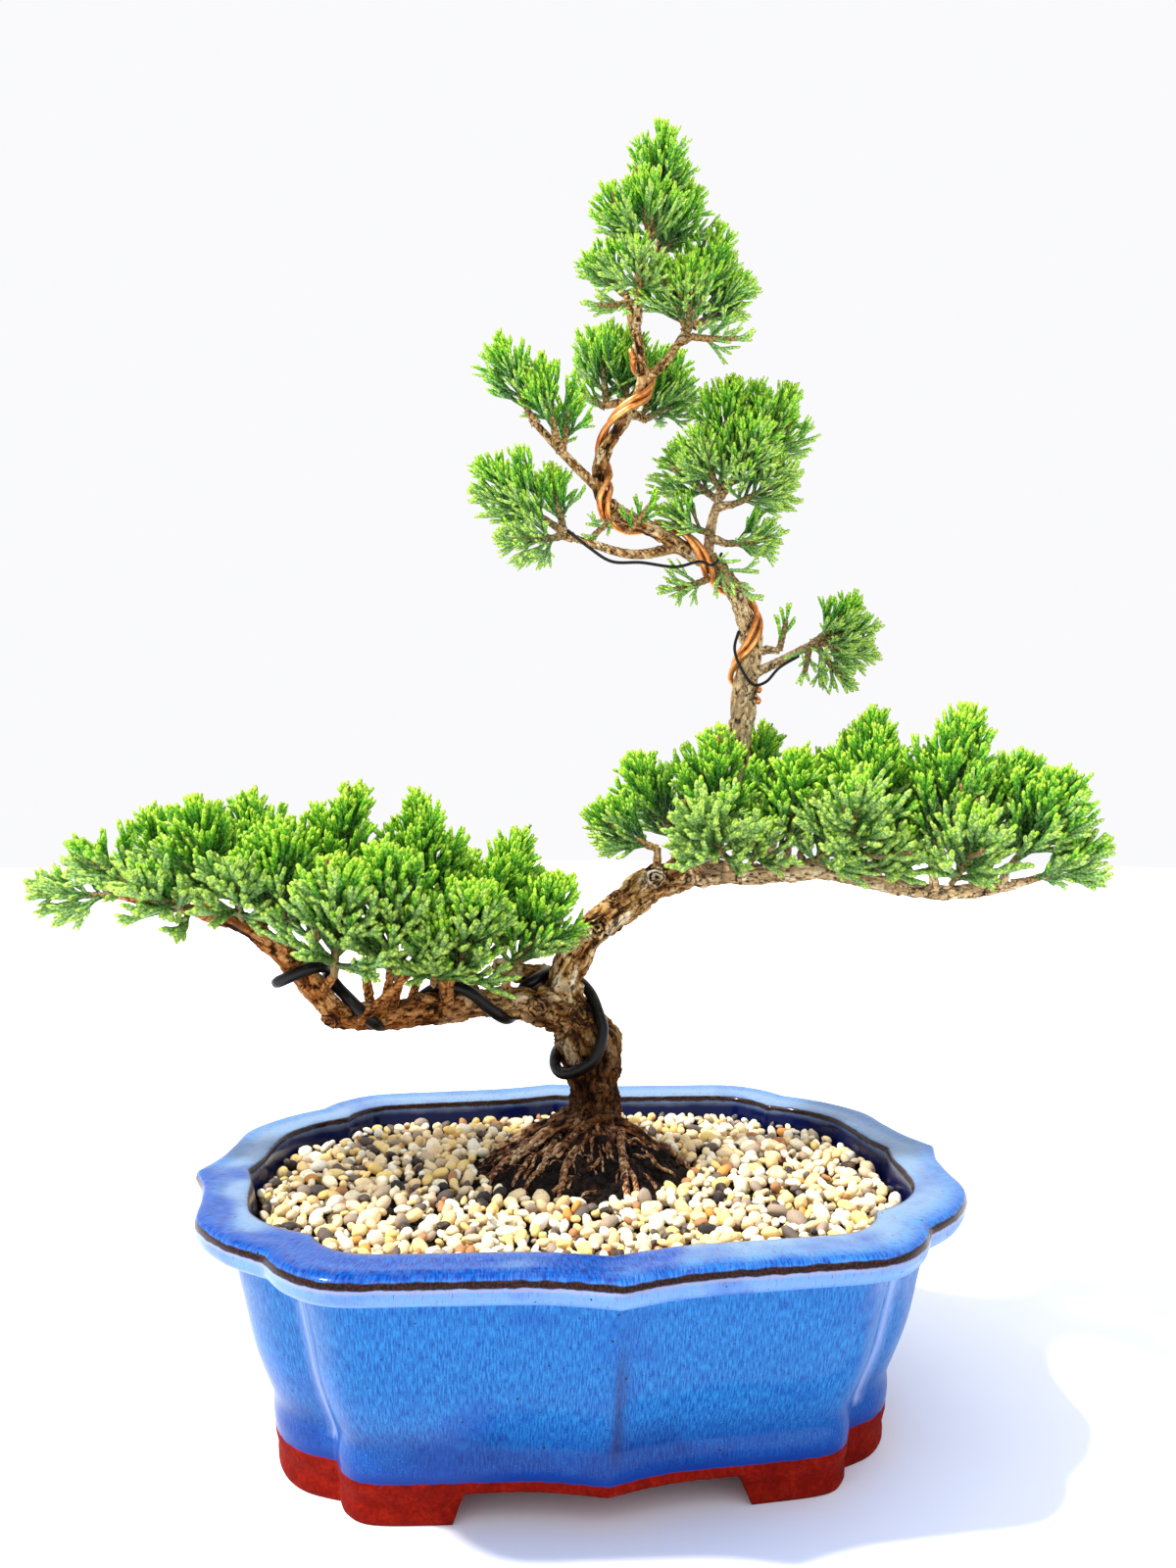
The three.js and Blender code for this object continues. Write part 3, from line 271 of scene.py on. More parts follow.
# Where the copper wires turn round their limb: limb, place, angle (0 faces the viewer)
COPPER_STOPS = [
    ("upper", 0.19, -300), ("upper", 0.23, -110), ("upper", 0.285, 0), ("upper", 0.42, 360),
    ("upper", 0.575, 720), ("upper", 0.74, 1080), ("upper", 0.84, 1370),
]
# The thin wires' routes, from branch to branch
THIN_RIGHT = [
    (56, 33.5, 228), (54.5, 33, 222), (57, 32.8, 215), (61, 33.2, 210.5), (65, 33.6, 211.5),
    (69, 31.8, 216), (75, 29.4, 219.7),
]
THIN_LEFT = [
    (-2, 13, 255), (5, 14.5, 250), (12, 17, 246.5), (22, 20.5, 247), (33, 21, 246),
    (41, 22, 248), (45, 22, 247), (48, 22.5, 251),
]

# Foliage: how far back from a shoot's tip its colours reach, the rows of its palette, how far
# apart shoots stand, and their radii in front of the pads, inside them and high in the tree
SHOOT_REACH = 30.0
PALETTE_ROWS = 32
WOODY_ROWS = 4
ROWS_PER_KIND = 7
SHOOT_SIDES = 4
GOLDEN_ANGLE = math.radians(137.5)
SHOOT_SPACING = 2.9
FRONT_SHOOT = 0.86
PAD_SHOOT = 0.64
HIGH_SHOOT = 0.5

# Colours of a shoot from its base (0) to its tip (1): inside a plume, under it, at its side, on top
# The dark bases and the dark kind inside a plume are painted shade; the brighter top kind is partly painted
# light over the lime of new growth
SHOOT_TONES = [
    [(0.0, (40, 60, 16)), (0.7, (8, 48, 8)), (0.86, (22, 84, 14)), (0.94, (60, 130, 24)),
     (1.0, (120, 176, 40))],
    [(0.0, (96, 92, 44)), (0.6, (66, 112, 40)), (0.78, (122, 170, 82)), (0.91, (158, 202, 108)),
     (0.95, (184, 224, 96)), (1.0, (206, 238, 90))],
    [(0.0, (84, 84, 30)), (0.66, (14, 78, 10)), (0.82, (54, 138, 20)), (0.9, (98, 180, 28)),
     (0.955, (150, 216, 36)), (1.0, (196, 238, 52))],
    [(0.0, (84, 84, 30)), (0.66, (18, 88, 6)), (0.8, (64, 154, 14)), (0.9, (112, 194, 22)),
     (0.95, (166, 226, 34)), (1.0, (218, 248, 64))],
]

# The glaze's colours: up the wall by height, then by distance from the rim's two edges
WALL_TONES = [
    (GLAZE_LINE, (0, 44, 124)), (14, (0, 52, 134)), (21, (0, 66, 140)), (32, (0, 70, 142)),
    (50, (0, 76, 148)), (58.5, (2, 78, 150)), (61.5, (70, 116, 184)), (64, (116, 142, 196)),
]
OUTER_EDGE_TONES = [(-1.8, (120, 146, 196)), (0.8, (14, 60, 150)), (5, (84, 112, 150)), (9, (122, 136, 152))]
INNER_EDGE_TONES = [(-2.2, (128, 138, 150)), (2.5, (2, 12, 62)), (12, (0, 6, 36))]

# Colours of the pebbles, each from its share of them on
CLAY_TONES = [(0.25, (70, 6, 1)), (0.5, (116, 14, 4)), (0.75, (150, 34, 12))]
PEBBLE_TONES = [
    (0.0, (246, 220, 172)), (0.17, (254, 240, 206)), (0.34, (238, 204, 146)), (0.46, (246, 212, 130)),
    (0.57, (252, 244, 222)), (0.67, (212, 190, 158)), (0.76, (160, 142, 124)), (0.82, (96, 86, 80)),
    (0.86, (50, 45, 46)), (0.895, (222, 152, 74)), (0.915, (180, 126, 84)), (0.945, (250, 220, 150)),
]

# Colours of the bark by relief, of its plates, and of the roots by relief
# By relief, bark and roots go dark low down and pale on raised parts: partly their own colours, partly
# painted shade and painted highlight
BARK_TONES = [
    (0.22, (14, 8, 3)), (0.31, (86, 54, 25)), (0.4, (168, 124, 68)), (0.5, (218, 180, 120)),
    (0.62, (248, 224, 178)), (0.76, (255, 249, 226)),
]
PLATE_TONES = [(0.0, (196, 148, 96)), (0.35, (246, 218, 180)), (0.65, (228, 194, 150)),
               (1.0, (255, 246, 228))]
ROOT_TONES = [(0.3, (26, 13, 8)), (0.42, (128, 76, 46)), (0.53, (196, 136, 90)), (0.68, (252, 218, 172))]

# Bark: the size of its plates on each limb, the size of the grid that the wood's skin is made
# on, and the seed of its wavering lines, which without one would follow the clock
BARK_SEED = 5
BARK_GRAIN = {"trunk": 3.8, "left": 3.3, "right": 2.9, "upper": 2.8}
THIN_GRAIN = 2.4
WOOD_VOXEL = 0.64
KNOT_EDGE = 1.25

# Roots over the mound: how many spread by chance, the visible ones from place to place with
# their radii, and one that crosses the trunk's foot, with its height too
TRUNK_FOOT = (8, 28)
ROOT_STEP = 1.7
THICK_ROOTS = 6
FINE_ROOTS = 44
SHOWN_ROOTS = [
    [(8, 27, 1.3), (15.5, 26.2, 1.25), (14.5, 14.6, 1.2), (13.6, 4.4, 1.15), (12.8, -4.8, 1.1),
     (12.4, -11.6, 1), (12.2, -20, 0.8)],
    [(13.9, 2.6, 0.85), (14.9, -3.7, 0.85), (15.4, -10.2, 0.8), (15, -17, 0.6)],
    [(0.7, 9.6, 0.9), (-2.1, 5.1, 1.05), (-4.1, -1.5, 1), (-5.3, -8, 0.95), (-7.7, -17, 0.7)],
    [(7.3, 3.3, 0.5), (4.1, -1.6, 0.62), (0.7, -4.2, 0.62), (-2.9, -6.2, 0.62), (-6.3, -9.1, 0.66),
     (-11, -14.5, 0.5)],
    [(5, 27, 1.1), (-2.2, 25.4, 1.1), (-4.7, 17.8, 1.1), (-7.2, 12.7, 1.05), (-10.3, 11.2, 0.9),
     (-13.4, 8.7, 0.85), (-16, 3.6, 0.7), (-19.5, -2, 0.5)],
    [(-6.9, 13.1, 0.9), (-8.8, 7.3, 0.95), (-10.2, 1.4, 0.8), (-13, -1.9, 0.68), (-15.8, -5.8, 0.6),
     (-17.6, -11, 0.45)],
    [(1, 27, 0.7), (-6.6, 27, 0.7), (-12, 25, 0.65), (-18, 24, 0.55), (-25, 22, 0.45)],
    [(17.5, 8.9, 0.6), (21.3, 6.9, 0.7), (23.5, 3.9, 0.66), (25.3, 1, 0.55), (30, 0, 0.4)],
    [(17.6, -2.1, 0.5), (20.5, -5.3, 0.55), (22.4, -10, 0.45)],
    [(5.6, 16.2, 0.36), (5, 8.1, 0.36), (3.7, 0, 0.33)],
    [(7.4, 11.1, 0.4), (7.4, 3.9, 0.4), (6.7, -3.7, 0.34)],
    [(-1.4, -5.5, 0.4), (-3.8, -9.4, 0.4), (-6, -14.6, 0.33)],
    [(4.1, -11.2, 0.5), (0.5, -13.7, 0.55), (-3, -18.6, 0.5)],
    [(-25.7, 3.6, 0.42), (-23, 7.9, 0.46), (-20.5, 11.1, 0.46), (-16.4, 11.1, 0.46), (-12.2, 13.9, 0.42)],
    [(-28, 15, 0.4), (-23, 18, 0.46), (-17, 20, 0.44), (-12.6, 20.1, 0.4)],
    [(-11.3, 10, 0.55), (-13.7, 3.3, 0.55), (-15.9, -1, 0.45)],
]
FOOT_ROOT = [
    (-3.5, 12.5, 69.6, 0.7), (-1.4, 12.2, 71.4, 0.85), (1.3, 12, 73.6, 1), (4.3, 12, 75.6, 1.1),
    (7.8, 12.4, 77, 1.1), (11.4, 13, 77.5, 1), (13, 15.5, 77.6, 0.8),
]


# Curves and vectors

def unit(vectors):
    """Each row at length 1."""
    vectors = np.asarray(vectors, float)
    return vectors / np.maximum(np.linalg.norm(vectors, axis=-1, keepdims=True), 1e-9)


def mixed(a, b, share):
    """From a (share 0) to b (share 1)."""
    return a + (b - a) * share


def curve_point(points, t):
    """A place (0 to 1) on the centripetal curve through points, as the part's source has it."""
    last = len(points) - 1
    place = min(max(t, 0.0), 1.0) * last
    i = min(int(place), last - 1)
    p1 = points[i]
    p2 = points[i + 1]
    p0 = points[i - 1] if i > 0 else 2 * points[0] - points[1]
    p3 = points[i + 2] if i + 2 <= last else 2 * points[last] - points[last - 1]
    d0, d1, d2 = (max(math.sqrt(np.linalg.norm(b - a)), 1e-4) for a, b in ((p0, p1), (p1, p2), (p2, p3)))
    start = ((p1 - p0) / d0 - (p2 - p0) / (d0 + d1) + (p2 - p1) / d1) * d1
    end = ((p2 - p1) / d1 - (p3 - p1) / (d1 + d2) + (p3 - p2) / d2) * d1
    w = place - i
    cubic = 2 * p1 - 2 * p2 + start + end
    square = -3 * p1 + 3 * p2 - 2 * start - end
    return ((cubic * w + square) * w + start) * w + p1


def curve_points(points, count):
    """Places spread over the curve through points."""
    points = np.asarray(points, float)
    return np.array([curve_point(points, t) for t in np.linspace(0, 1, count)])


def limb_point(name, t):
    return curve_point(np.array(LIMBS[name], float)[:, :3], t)


def limb_radius(name, t):
    radii = [row[3] for row in LIMBS[name]]
    return float(np.interp(t * (len(radii) - 1), range(len(radii)), radii))


def limb_direction(name, t):
    step = 0.004
    return unit(limb_point(name, min(t + step, 1)) - limb_point(name, max(t - step, 0)))


def spline(a, b, leave, reach, share):
    """A place between a and b on the cubic that leaves a and reaches b with those slopes."""
    return ((2 * a - 2 * b + leave + reach) * share
            + (-3 * a + 3 * b - 2 * leave - reach)) * share * share + leave * share + a


def distances_along(points):
    """How far along a path each of its points lies."""
    return np.concatenate([[0], np.cumsum(np.linalg.norm(np.diff(points, axis=0), axis=1))])


def path_length(points):
    return float(distances_along(points)[-1])


def evenly(points, step):
    """The same path with its points a step apart."""
    along = distances_along(points)
    wanted = np.linspace(0, along[-1], max(3, round(along[-1] / step) + 1))
    return np.stack([np.interp(wanted, along, points[:, k]) for k in range(3)], axis=1)


def path_frames(points):
    """Two directions across a path at each of its points, turning as little as they can."""
    tangents = unit(np.gradient(points, axis=0))
    side = np.array([0.0, -1.0, 0.0])
    sides = []
    for tangent in tangents:
        if abs(side @ tangent) > 0.95:
            side = np.array([1.0, 0.0, 0.0])
        side = unit(side - tangent * (side @ tangent))
        sides.append(side)
    sides = np.array(sides)
    return sides, np.cross(tangents, sides)


# Meshes

def to_row(points):
    """Millimetres from the pot's middle to metres in the row's frame."""
    return np.asarray(points, float) * MM + POT_MIDDLE


def make_mesh(name, points, faces, maps=None, numbers=None, smooth=True):
    """A mesh from points and lists of faces, with named UV maps and named point values."""
    mesh = bpy.data.meshes.new(name)
    sizes = np.concatenate([np.full(len(f), f.shape[1]) for f in faces])
    corners = np.concatenate([np.asarray(f).ravel() for f in faces])
    mesh.vertices.add(len(points))
    mesh.vertices.foreach_set("co", to_row(points).astype(np.float32).ravel())
    mesh.loops.add(len(corners))
    mesh.loops.foreach_set("vertex_index", corners.astype(np.int32))
    mesh.polygons.add(len(sizes))
    starts = np.concatenate([[0], np.cumsum(sizes)[:-1]])
    mesh.polygons.foreach_set("loop_start", starts.astype(np.int32))
    mesh.polygons.foreach_set("loop_total", sizes.astype(np.int32))
    mesh.update(calc_edges=True)
    mesh.polygons.foreach_set("use_smooth", np.full(len(sizes), smooth))
    for map_name, values in (maps or {}).items():
        layer = mesh.uv_layers.new(name=map_name)
        layer.data.foreach_set("uv", np.asarray(values, np.float32).ravel())
    for key, values in (numbers or {}).items():
        values = np.asarray(values, np.float32)
        kind = "FLOAT" if values.ndim == 1 else "FLOAT_VECTOR"
        field = "value" if values.ndim == 1 else "vector"
        mesh.attributes.new(key, kind, "POINT").data.foreach_set(field, values.ravel())
    return mesh


def add_piece(mesh, material, slot, *nodes):
    """Places a mesh on the tree's one body, in the stead of the nodes that it stands for."""
    piece = bpy.data.objects.new(mesh.name, mesh)
    bpy.context.scene.collection.objects.link(piece)
    mesh.materials.append(material)
    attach(piece, "root")
    if nodes:
        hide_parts(*nodes)
    return piece


def ring_faces(rings, count):
    """Quads between rings of points that follow each other."""
    r, k = np.meshgrid(np.arange(rings - 1), np.arange(count), indexing="ij")
    a = (r * count + k).ravel()
    b = (r * count + (k + 1) % count).ravel()
    return np.stack([a, b, b + count, a + count], axis=1)


def loft(rings):
    """Points and faces of a closed solid through rings, with a fan at each end."""
    count = len(rings[0])
    points = np.concatenate([*rings, [np.mean(rings[0], axis=0), np.mean(rings[-1], axis=0)]])
    k = np.arange(count)
    last = (len(rings) - 1) * count
    bottom = np.stack([np.full(count, len(points) - 2), (k + 1) % count, k], axis=1)
    top = np.stack([np.full(count, len(points) - 1), last + k, last + (k + 1) % count], axis=1)
    return points, [ring_faces(len(rings), count), bottom, top]


def tube(path, radii, sides):
    """A closed round tube along a path."""
    across, other = path_frames(path)
    angles = np.linspace(0, 2 * math.pi, sides, endpoint=False)
    offsets = across[:, None] * np.cos(angles)[None, :, None] + other[:, None] * np.sin(angles)[None, :, None]
    rings = path[:, None] + offsets * np.asarray(radii)[:, None, None]
    return loft(list(rings))


def joined(parts):
    """Several sets of points and faces as one."""
    points = []
    faces = []
    shift = 0
    for some_points, some_faces in parts:
        points.append(some_points)
        faces.extend(np.asarray(f) + shift for f in some_faces)
        shift += len(some_points)
    return np.concatenate(points), faces


# Shader nodes

def paint(red, green, blue):
    """A colour as it looks on a screen, 0 to 255, for a colour socket."""
    parts = [c / 255 for c in (red, green, blue)]
    return (*[c / 12.92 if c <= 0.04045 else ((c + 0.055) / 1.055) ** 2.4 for c in parts], 1.0)


class Nodes:
    """Short calls that add nodes to one shader tree and join them."""

    def __init__(self, tree):
        self.tree = tree

    def add(self, kind, inputs=None, **settings):
        node = self.tree.nodes.new(kind)
        for key, value in settings.items():
            setattr(node, key, value)
        for key, value in (inputs or {}).items():
            self.feed(value, node.inputs[key])
        return node

    def feed(self, value, socket):
        if isinstance(value, bpy.types.NodeSocket):
            self.tree.links.new(value, socket)
        else:
            socket.default_value = value

    def calc(self, operation, a, b=0.0):
        return self.add("ShaderNodeMath", {0: a, 1: b}, operation=operation).outputs[0]

    def times(self, a, b):
        return self.calc("MULTIPLY", a, b)

    def span(self, value, low, high, to_low=0.0, to_high=1.0):
        """Value from low to high, turned smoothly into to_low to to_high."""
        inputs = {"Value": value, "From Min": low, "From Max": high, "To Min": to_low, "To Max": to_high}
        return self.add("ShaderNodeMapRange", inputs, interpolation_type="SMOOTHSTEP").outputs[0]

    def band(self, value, start, full, fall, end):
        """1 from full to fall, smoothly down to 0 at start and at end."""
        return self.times(self.span(value, start, full), self.span(value, fall, end, 1.0, 0.0))

    def noise(self, vector, scale, detail=3.0, roughness=0.5):
        inputs = {"Vector": vector, "Scale": scale, "Detail": detail, "Roughness": roughness}
        return self.add("ShaderNodeTexNoise", inputs).outputs["Fac"]

    def stretch(self, vector, z):
        """The same place with its third direction scaled."""
        return self.add("ShaderNodeMapping", {"Vector": vector, "Scale": (1, 1, z)}).outputs[0]

    def ramp(self, value, stops, interpolation="LINEAR"):
        node = self.add("ShaderNodeValToRGB", {"Fac": value})
        node.color_ramp.interpolation = interpolation
        while len(node.color_ramp.elements) < len(stops):
            node.color_ramp.elements.new(0.5)
        for element, (place, colour) in zip(node.color_ramp.elements, stops):
            element.position = place
            element.color = paint(*colour)
        return node.outputs[0]

    def mix(self, share, a, b, blend="MIX"):
        node = self.add("ShaderNodeMix", {0: share, 6: a, 7: b}, data_type="RGBA", blend_type=blend)
        return node.outputs[2]

    def bump(self, height, strength, distance, normal=None):
        inputs = {"Height": height, "Strength": strength, "Distance": distance}
        if normal is not None:
            inputs["Normal"] = normal
        return self.add("ShaderNodeBump", inputs).outputs[0]

    def place(self):
        """Where on the object, in metres."""
        return self.add("ShaderNodeTexCoord").outputs["Object"]

    def map(self, name):
        return self.add("ShaderNodeUVMap", uv_map=name).outputs[0]

    def number(self, name, output="Fac"):
        return self.add("ShaderNodeAttribute", attribute_name=name).outputs[output]

    def parts_of(self, vector):
        return self.add("ShaderNodeSeparateXYZ", {0: vector}).outputs

    def use(self, group, inputs):
        node = self.add("ShaderNodeGroup", None, node_tree=group)
        for key, value in inputs.items():
            self.feed(value, node.inputs[key])
        return node


def shared_group(name, inputs, outputs, build):
    """A node group. build gets its Nodes and its inputs, and returns its outputs in order."""
    tree = bpy.data.node_groups.new(name, "ShaderNodeTree")
    for socket_name, kind, value in inputs:
        socket = tree.interface.new_socket(name=socket_name, in_out="INPUT", socket_type=kind)
        if value is not None:
            socket.default_value = value
    for socket_name, kind in outputs:
        tree.interface.new_socket(name=socket_name, in_out="OUTPUT", socket_type=kind)
    nodes = Nodes(tree)
    entry = nodes.add("NodeGroupInput")
    leave = nodes.add("NodeGroupOutput")
    for i, value in enumerate(build(nodes, entry.outputs)):
        nodes.feed(value, leave.inputs[i])
    return tree


def finish_named(name, roughness=0.5, metallic=0.0, mirror=0.5):
    """A new material: its Nodes and its Principled shader, with constants set on the shader."""
    material = bpy.data.materials.new(name)
    material.use_nodes = True
    tree = material.node_tree
    tree.nodes.clear()
    nodes = Nodes(tree)
    constants = {"Roughness": roughness, "Metallic": metallic, "Specular IOR Level": mirror}
    shader = nodes.add("ShaderNodeBsdfPrincipled", constants)
    output = nodes.add("ShaderNodeOutputMaterial")
    nodes.feed(shader.outputs[0], output.inputs[0])
    return material, nodes, shader


def grain_group():
    """Fine uneven grain: a value round 0.5 and a height."""
    def build(nodes, entry):
        fine = nodes.noise(entry["Vector"], entry["Scale"], 5.0, 0.65)
        coarse = nodes.noise(entry["Vector"], nodes.times(entry["Scale"], 0.23), 2.0)
        value = nodes.calc("ADD", nodes.times(fine, 0.6), nodes.times(coarse, 0.4))
        return [value, fine]

    return shared_group(
        "uneven_grain",
        [("Vector", "NodeSocketVector", None), ("Scale", "NodeSocketFloat", 400.0)],
        [("Value", "NodeSocketFloat"), ("Height", "NodeSocketFloat")],
        build)


def dust_group():
    """Where dust and soil settle: on faces that look up, in patches."""
    def build(nodes, entry):
        up = nodes.parts_of(nodes.add("ShaderNodeNewGeometry").outputs["Normal"])[2]
        patches = nodes.noise(nodes.place(), entry["Scale"], 4.0, 0.6)
        mask = nodes.times(nodes.span(up, 0.2, 0.95), nodes.span(patches, 0.45, 0.7))
        return [nodes.times(mask, entry["Amount"])]

    return shared_group(
        "settled_dust",
        [("Scale", "NodeSocketFloat", 300.0), ("Amount", "NodeSocketFloat", 0.5)],
        [("Mask", "NodeSocketFloat")],
        build)


def scales_group():
    """Overlapping scale leaves in two alternating pairs, from a place along and round a shoot."""
    def build(nodes, entry):
        along = nodes.times(entry["Along"], entry["Rows"])
        row = nodes.calc("FLOOR", along)
        rise = nodes.calc("SUBTRACT", along, row)
        shift = nodes.times(nodes.calc("FLOORED_MODULO", row, 2.0), 0.5)
        turn = nodes.calc("ADD", nodes.times(entry["Round"], entry["Leaves"]), shift)
        across = nodes.calc("SUBTRACT", nodes.calc("FRACT", turn), 0.5)
        away = nodes.times(nodes.calc("ABSOLUTE", across), 2.0)
        reach = nodes.calc("SUBTRACT", 1.0, nodes.times(away, away))
        edge = nodes.span(nodes.calc("SUBTRACT", reach, rise), -0.05, 0.3)
        height = nodes.times(edge, nodes.calc("ADD", nodes.times(rise, 0.7), 0.3))
        return [edge, height]

    return shared_group(
        "scale_leaves",
        [("Along", "NodeSocketFloat", 0.0), ("Round", "NodeSocketFloat", 0.0),
         ("Rows", "NodeSocketFloat", 27.0), ("Leaves", "NodeSocketFloat", 2.0)],
        [("Leaf", "NodeSocketFloat"), ("Height", "NodeSocketFloat")],
        build)


# Materials

def section_marks(rows):
    """How far along the pot's section each of its rows comes."""
    rows = np.array(rows, float)
    steps = np.hypot(np.diff(rows[:, 0]), np.diff(rows[:, 1]) * GROWTH_REACH)
    return np.concatenate([[0], np.cumsum(steps)])


def section_mark(height, side="outside"):
    """How far along the section a height comes, on the outside or on the inside."""
    rows = OUTSIDE + RIM_TOP + INSIDE
    last = len(OUTSIDE) if side == "outside" else len(rows)
    first = 0 if side == "outside" else len(OUTSIDE) + len(RIM_TOP) - 1
    heights = [row[0] for row in rows[first:last]]
    places = section_marks(rows)[first:last]
    if heights[0] > heights[-1]:
        heights = heights[::-1]
        places = places[::-1]
    return float(np.interp(height, heights, places))


def running_blue(nodes, along, streaks, even, wall):
    """The glaze on the wall and over the rim: pale where it ran thin, deep where it pooled."""
    total = section_marks(OUTSIDE + RIM_TOP + INSIDE)[-1]
    edge, inner = section_mark(68.2), section_mark(68.2, "inside")
    wobble = nodes.times(nodes.calc("SUBTRACT", nodes.noise(even, 0.09, 3.0), 0.5), 4.0)
    place = nodes.calc("ADD", along, wobble)
    stops = [(section_mark(height), tone) for height, tone in WALL_TONES]
    stops += [(edge + away, tone) for away, tone in OUTER_EDGE_TONES]
    stops += [(inner + away, tone) for away, tone in INNER_EDGE_TONES]
    colour = nodes.ramp(nodes.calc("DIVIDE", place, total), [(mark / total, tone) for mark, tone in stops])
    thin = nodes.times(nodes.span(streaks, 0.38, 0.66), wall)
    higher = nodes.span(place, section_mark(15), section_mark(30), 0.3, 1.0)
    colour = nodes.mix(nodes.times(thin, nodes.times(higher, 0.62)), colour, paint(48, 142, 206))
    thick = nodes.times(nodes.span(streaks, 0.34, 0.48, 1.0, 0.0), wall)
    colour = nodes.mix(nodes.times(thick, 0.5), colour, paint(0, 52, 138))
    speckle = nodes.noise(even, 1.7, 2.0, 0.6)
    flecks = nodes.times(nodes.span(speckle, 0.56, 0.7, 0.0, 0.35), wall)
    colour = nodes.mix(flecks, colour, paint(48, 142, 206))
    low_wall = nodes.span(place, section_mark(19), section_mark(28), 1.0, 0.0)
    pooled = nodes.times(nodes.span(nodes.noise(even, 0.028, 2.0), 0.44, 0.56), low_wall)
    pooled = nodes.times(pooled, nodes.span(streaks, 0.3, 0.6, 1.0, 0.35))
    colour = nodes.mix(nodes.times(nodes.times(pooled, wall), 0.85), colour, paint(0, 34, 108))
    clouds = nodes.times(nodes.span(nodes.noise(even, 0.05, 3.0), 0.52, 0.7), 0.45)
    return nodes.mix(nodes.times(clouds, wall), colour, paint(0, 58, 144)), speckle


def cobalt_rim(nodes, colour, along, streaks, even):
    """Deeper glaze that lies on the front and left of the rim."""
    edge, inner = section_mark(68.2), section_mark(68.2, "inside")
    rim = nodes.band(along, edge, edge + 1.5, inner - 1.2, inner)
    sides = nodes.parts_of(nodes.place())
    front_left = nodes.calc("ADD", nodes.times(sides[0], -8.0), nodes.times(sides[1], -14.0))
    wide = nodes.calc("ADD", nodes.noise(even, 0.024, 2.0), nodes.times(front_left, 0.26))
    cobalt = nodes.times(nodes.span(wide, 0.7, 0.82), rim)
    tone = nodes.mix(nodes.span(streaks, 0.38, 0.66), paint(0, 34, 118), paint(0, 88, 174))
    return nodes.mix(nodes.times(cobalt, 0.95), colour, tone)


def brown_edges(nodes, colour, worn_place, speckle):
    """Thin brown lines where the glaze drew back from the rim's two edges."""
    edge, inner = section_mark(68.2), section_mark(68.2, "inside")
    outer_line = nodes.band(worn_place, edge - 1.5, edge - 1.1, edge + 0.1, edge + 0.6)
    inner_line = nodes.band(worn_place, inner - 1.2, inner - 0.7, inner + 0.5, inner + 1.2)
    brown = nodes.mix(nodes.span(speckle, 0.4, 0.65), paint(10, 4, 3), paint(56, 26, 16))
    colour = nodes.mix(nodes.calc("MAXIMUM", outer_line, inner_line), colour, brown)
    fringe = nodes.band(worn_place, edge - 2.4, edge - 1.7, edge - 1.5, edge - 1.2)
    return nodes.mix(nodes.times(fringe, 0.6), colour, paint(150, 142, 160))


def glaze_finish(grain, dust):
    """Running blue glaze over bare clay that shows at the foot and inside, under the soil."""
    material, nodes, shader = finish_named("blue_running_glaze", mirror=0.06)
    parts = nodes.parts_of(nodes.map("glaze"))
    round_pot, along = parts[0], parts[1]
    flow = nodes.add("ShaderNodeCombineXYZ", {0: round_pot, 1: nodes.times(along, 0.13)}).outputs[0]
    even = nodes.add("ShaderNodeCombineXYZ", {0: round_pot, 1: along}).outputs[0]
    streaks = nodes.noise(flow, 2.5, 4.0, 0.68)
    inner = section_mark(68.2, "inside")
    wall = nodes.band(along, section_mark(11), section_mark(15), inner, inner + 2.0)
    colour, speckle = running_blue(nodes, along, streaks, even, wall)
    colour = cobalt_rim(nodes, colour, along, streaks, even)
    worn = nodes.times(nodes.calc("SUBTRACT", nodes.noise(even, 0.3, 2.0), 0.5), 0.9)
    worn_place = nodes.calc("ADD", along, worn)
    colour = brown_edges(nodes, colour, worn_place, speckle)
    cusp = nodes.times(nodes.number("cusp"), nodes.span(speckle, 0.3, 0.6, 0.55, 0.95))
    colour = nodes.mix(cusp, colour, paint(34, 40, 84))
    # Pale lavender painted highlight down the edges of the corner notches, standing for the reflection of the
    # bright room
    colour = nodes.mix(nodes.times(nodes.number("notch"), 0.75), colour, paint(150, 168, 212))
    pits = nodes.span(nodes.noise(even, 0.75, 1.0), 0.735, 0.76)
    colour = nodes.mix(nodes.times(pits, wall), colour, paint(30, 18, 22))
    clay_grain = nodes.use(grain, {"Vector": nodes.place(), "Scale": 900.0})
    clay = nodes.ramp(clay_grain.outputs["Value"], CLAY_TONES)
    foot = nodes.span(worn_place, section_mark(10.5), section_mark(10.9), 1.0, 0.0)
    total = section_marks(OUTSIDE + RIM_TOP + INSIDE)[-1]
    bare = nodes.calc("MAXIMUM", foot, nodes.span(along, total - 6.0, total - 2.0))
    colour = nodes.mix(bare, colour, clay)
    soiled = nodes.use(dust, {"Scale": 260.0, "Amount": 0.08}).outputs["Mask"]
    nodes.feed(nodes.mix(soiled, colour, paint(150, 140, 126)), shader.inputs["Base Color"])
    nodes.feed(nodes.add("ShaderNodeMix", {0: bare, 2: 0.3, 3: 0.85}).outputs[0], shader.inputs["Roughness"])
    nodes.feed(nodes.span(bare, 0.0, 1.0, 0.22, 0.0), shader.inputs["Coat Weight"])
    shader.inputs["Coat Roughness"].default_value = 0.07
    ripple = nodes.calc("ADD", nodes.times(nodes.noise(even, 0.28, 2.0), 0.8), nodes.times(streaks, 0.2))
    glazed = nodes.bump(ripple, 0.35, 0.0004)
    relief = nodes.times(clay_grain.outputs["Height"], bare)
    nodes.feed(nodes.bump(relief, 0.5, 0.0004, glazed), shader.inputs["Normal"])
    return material


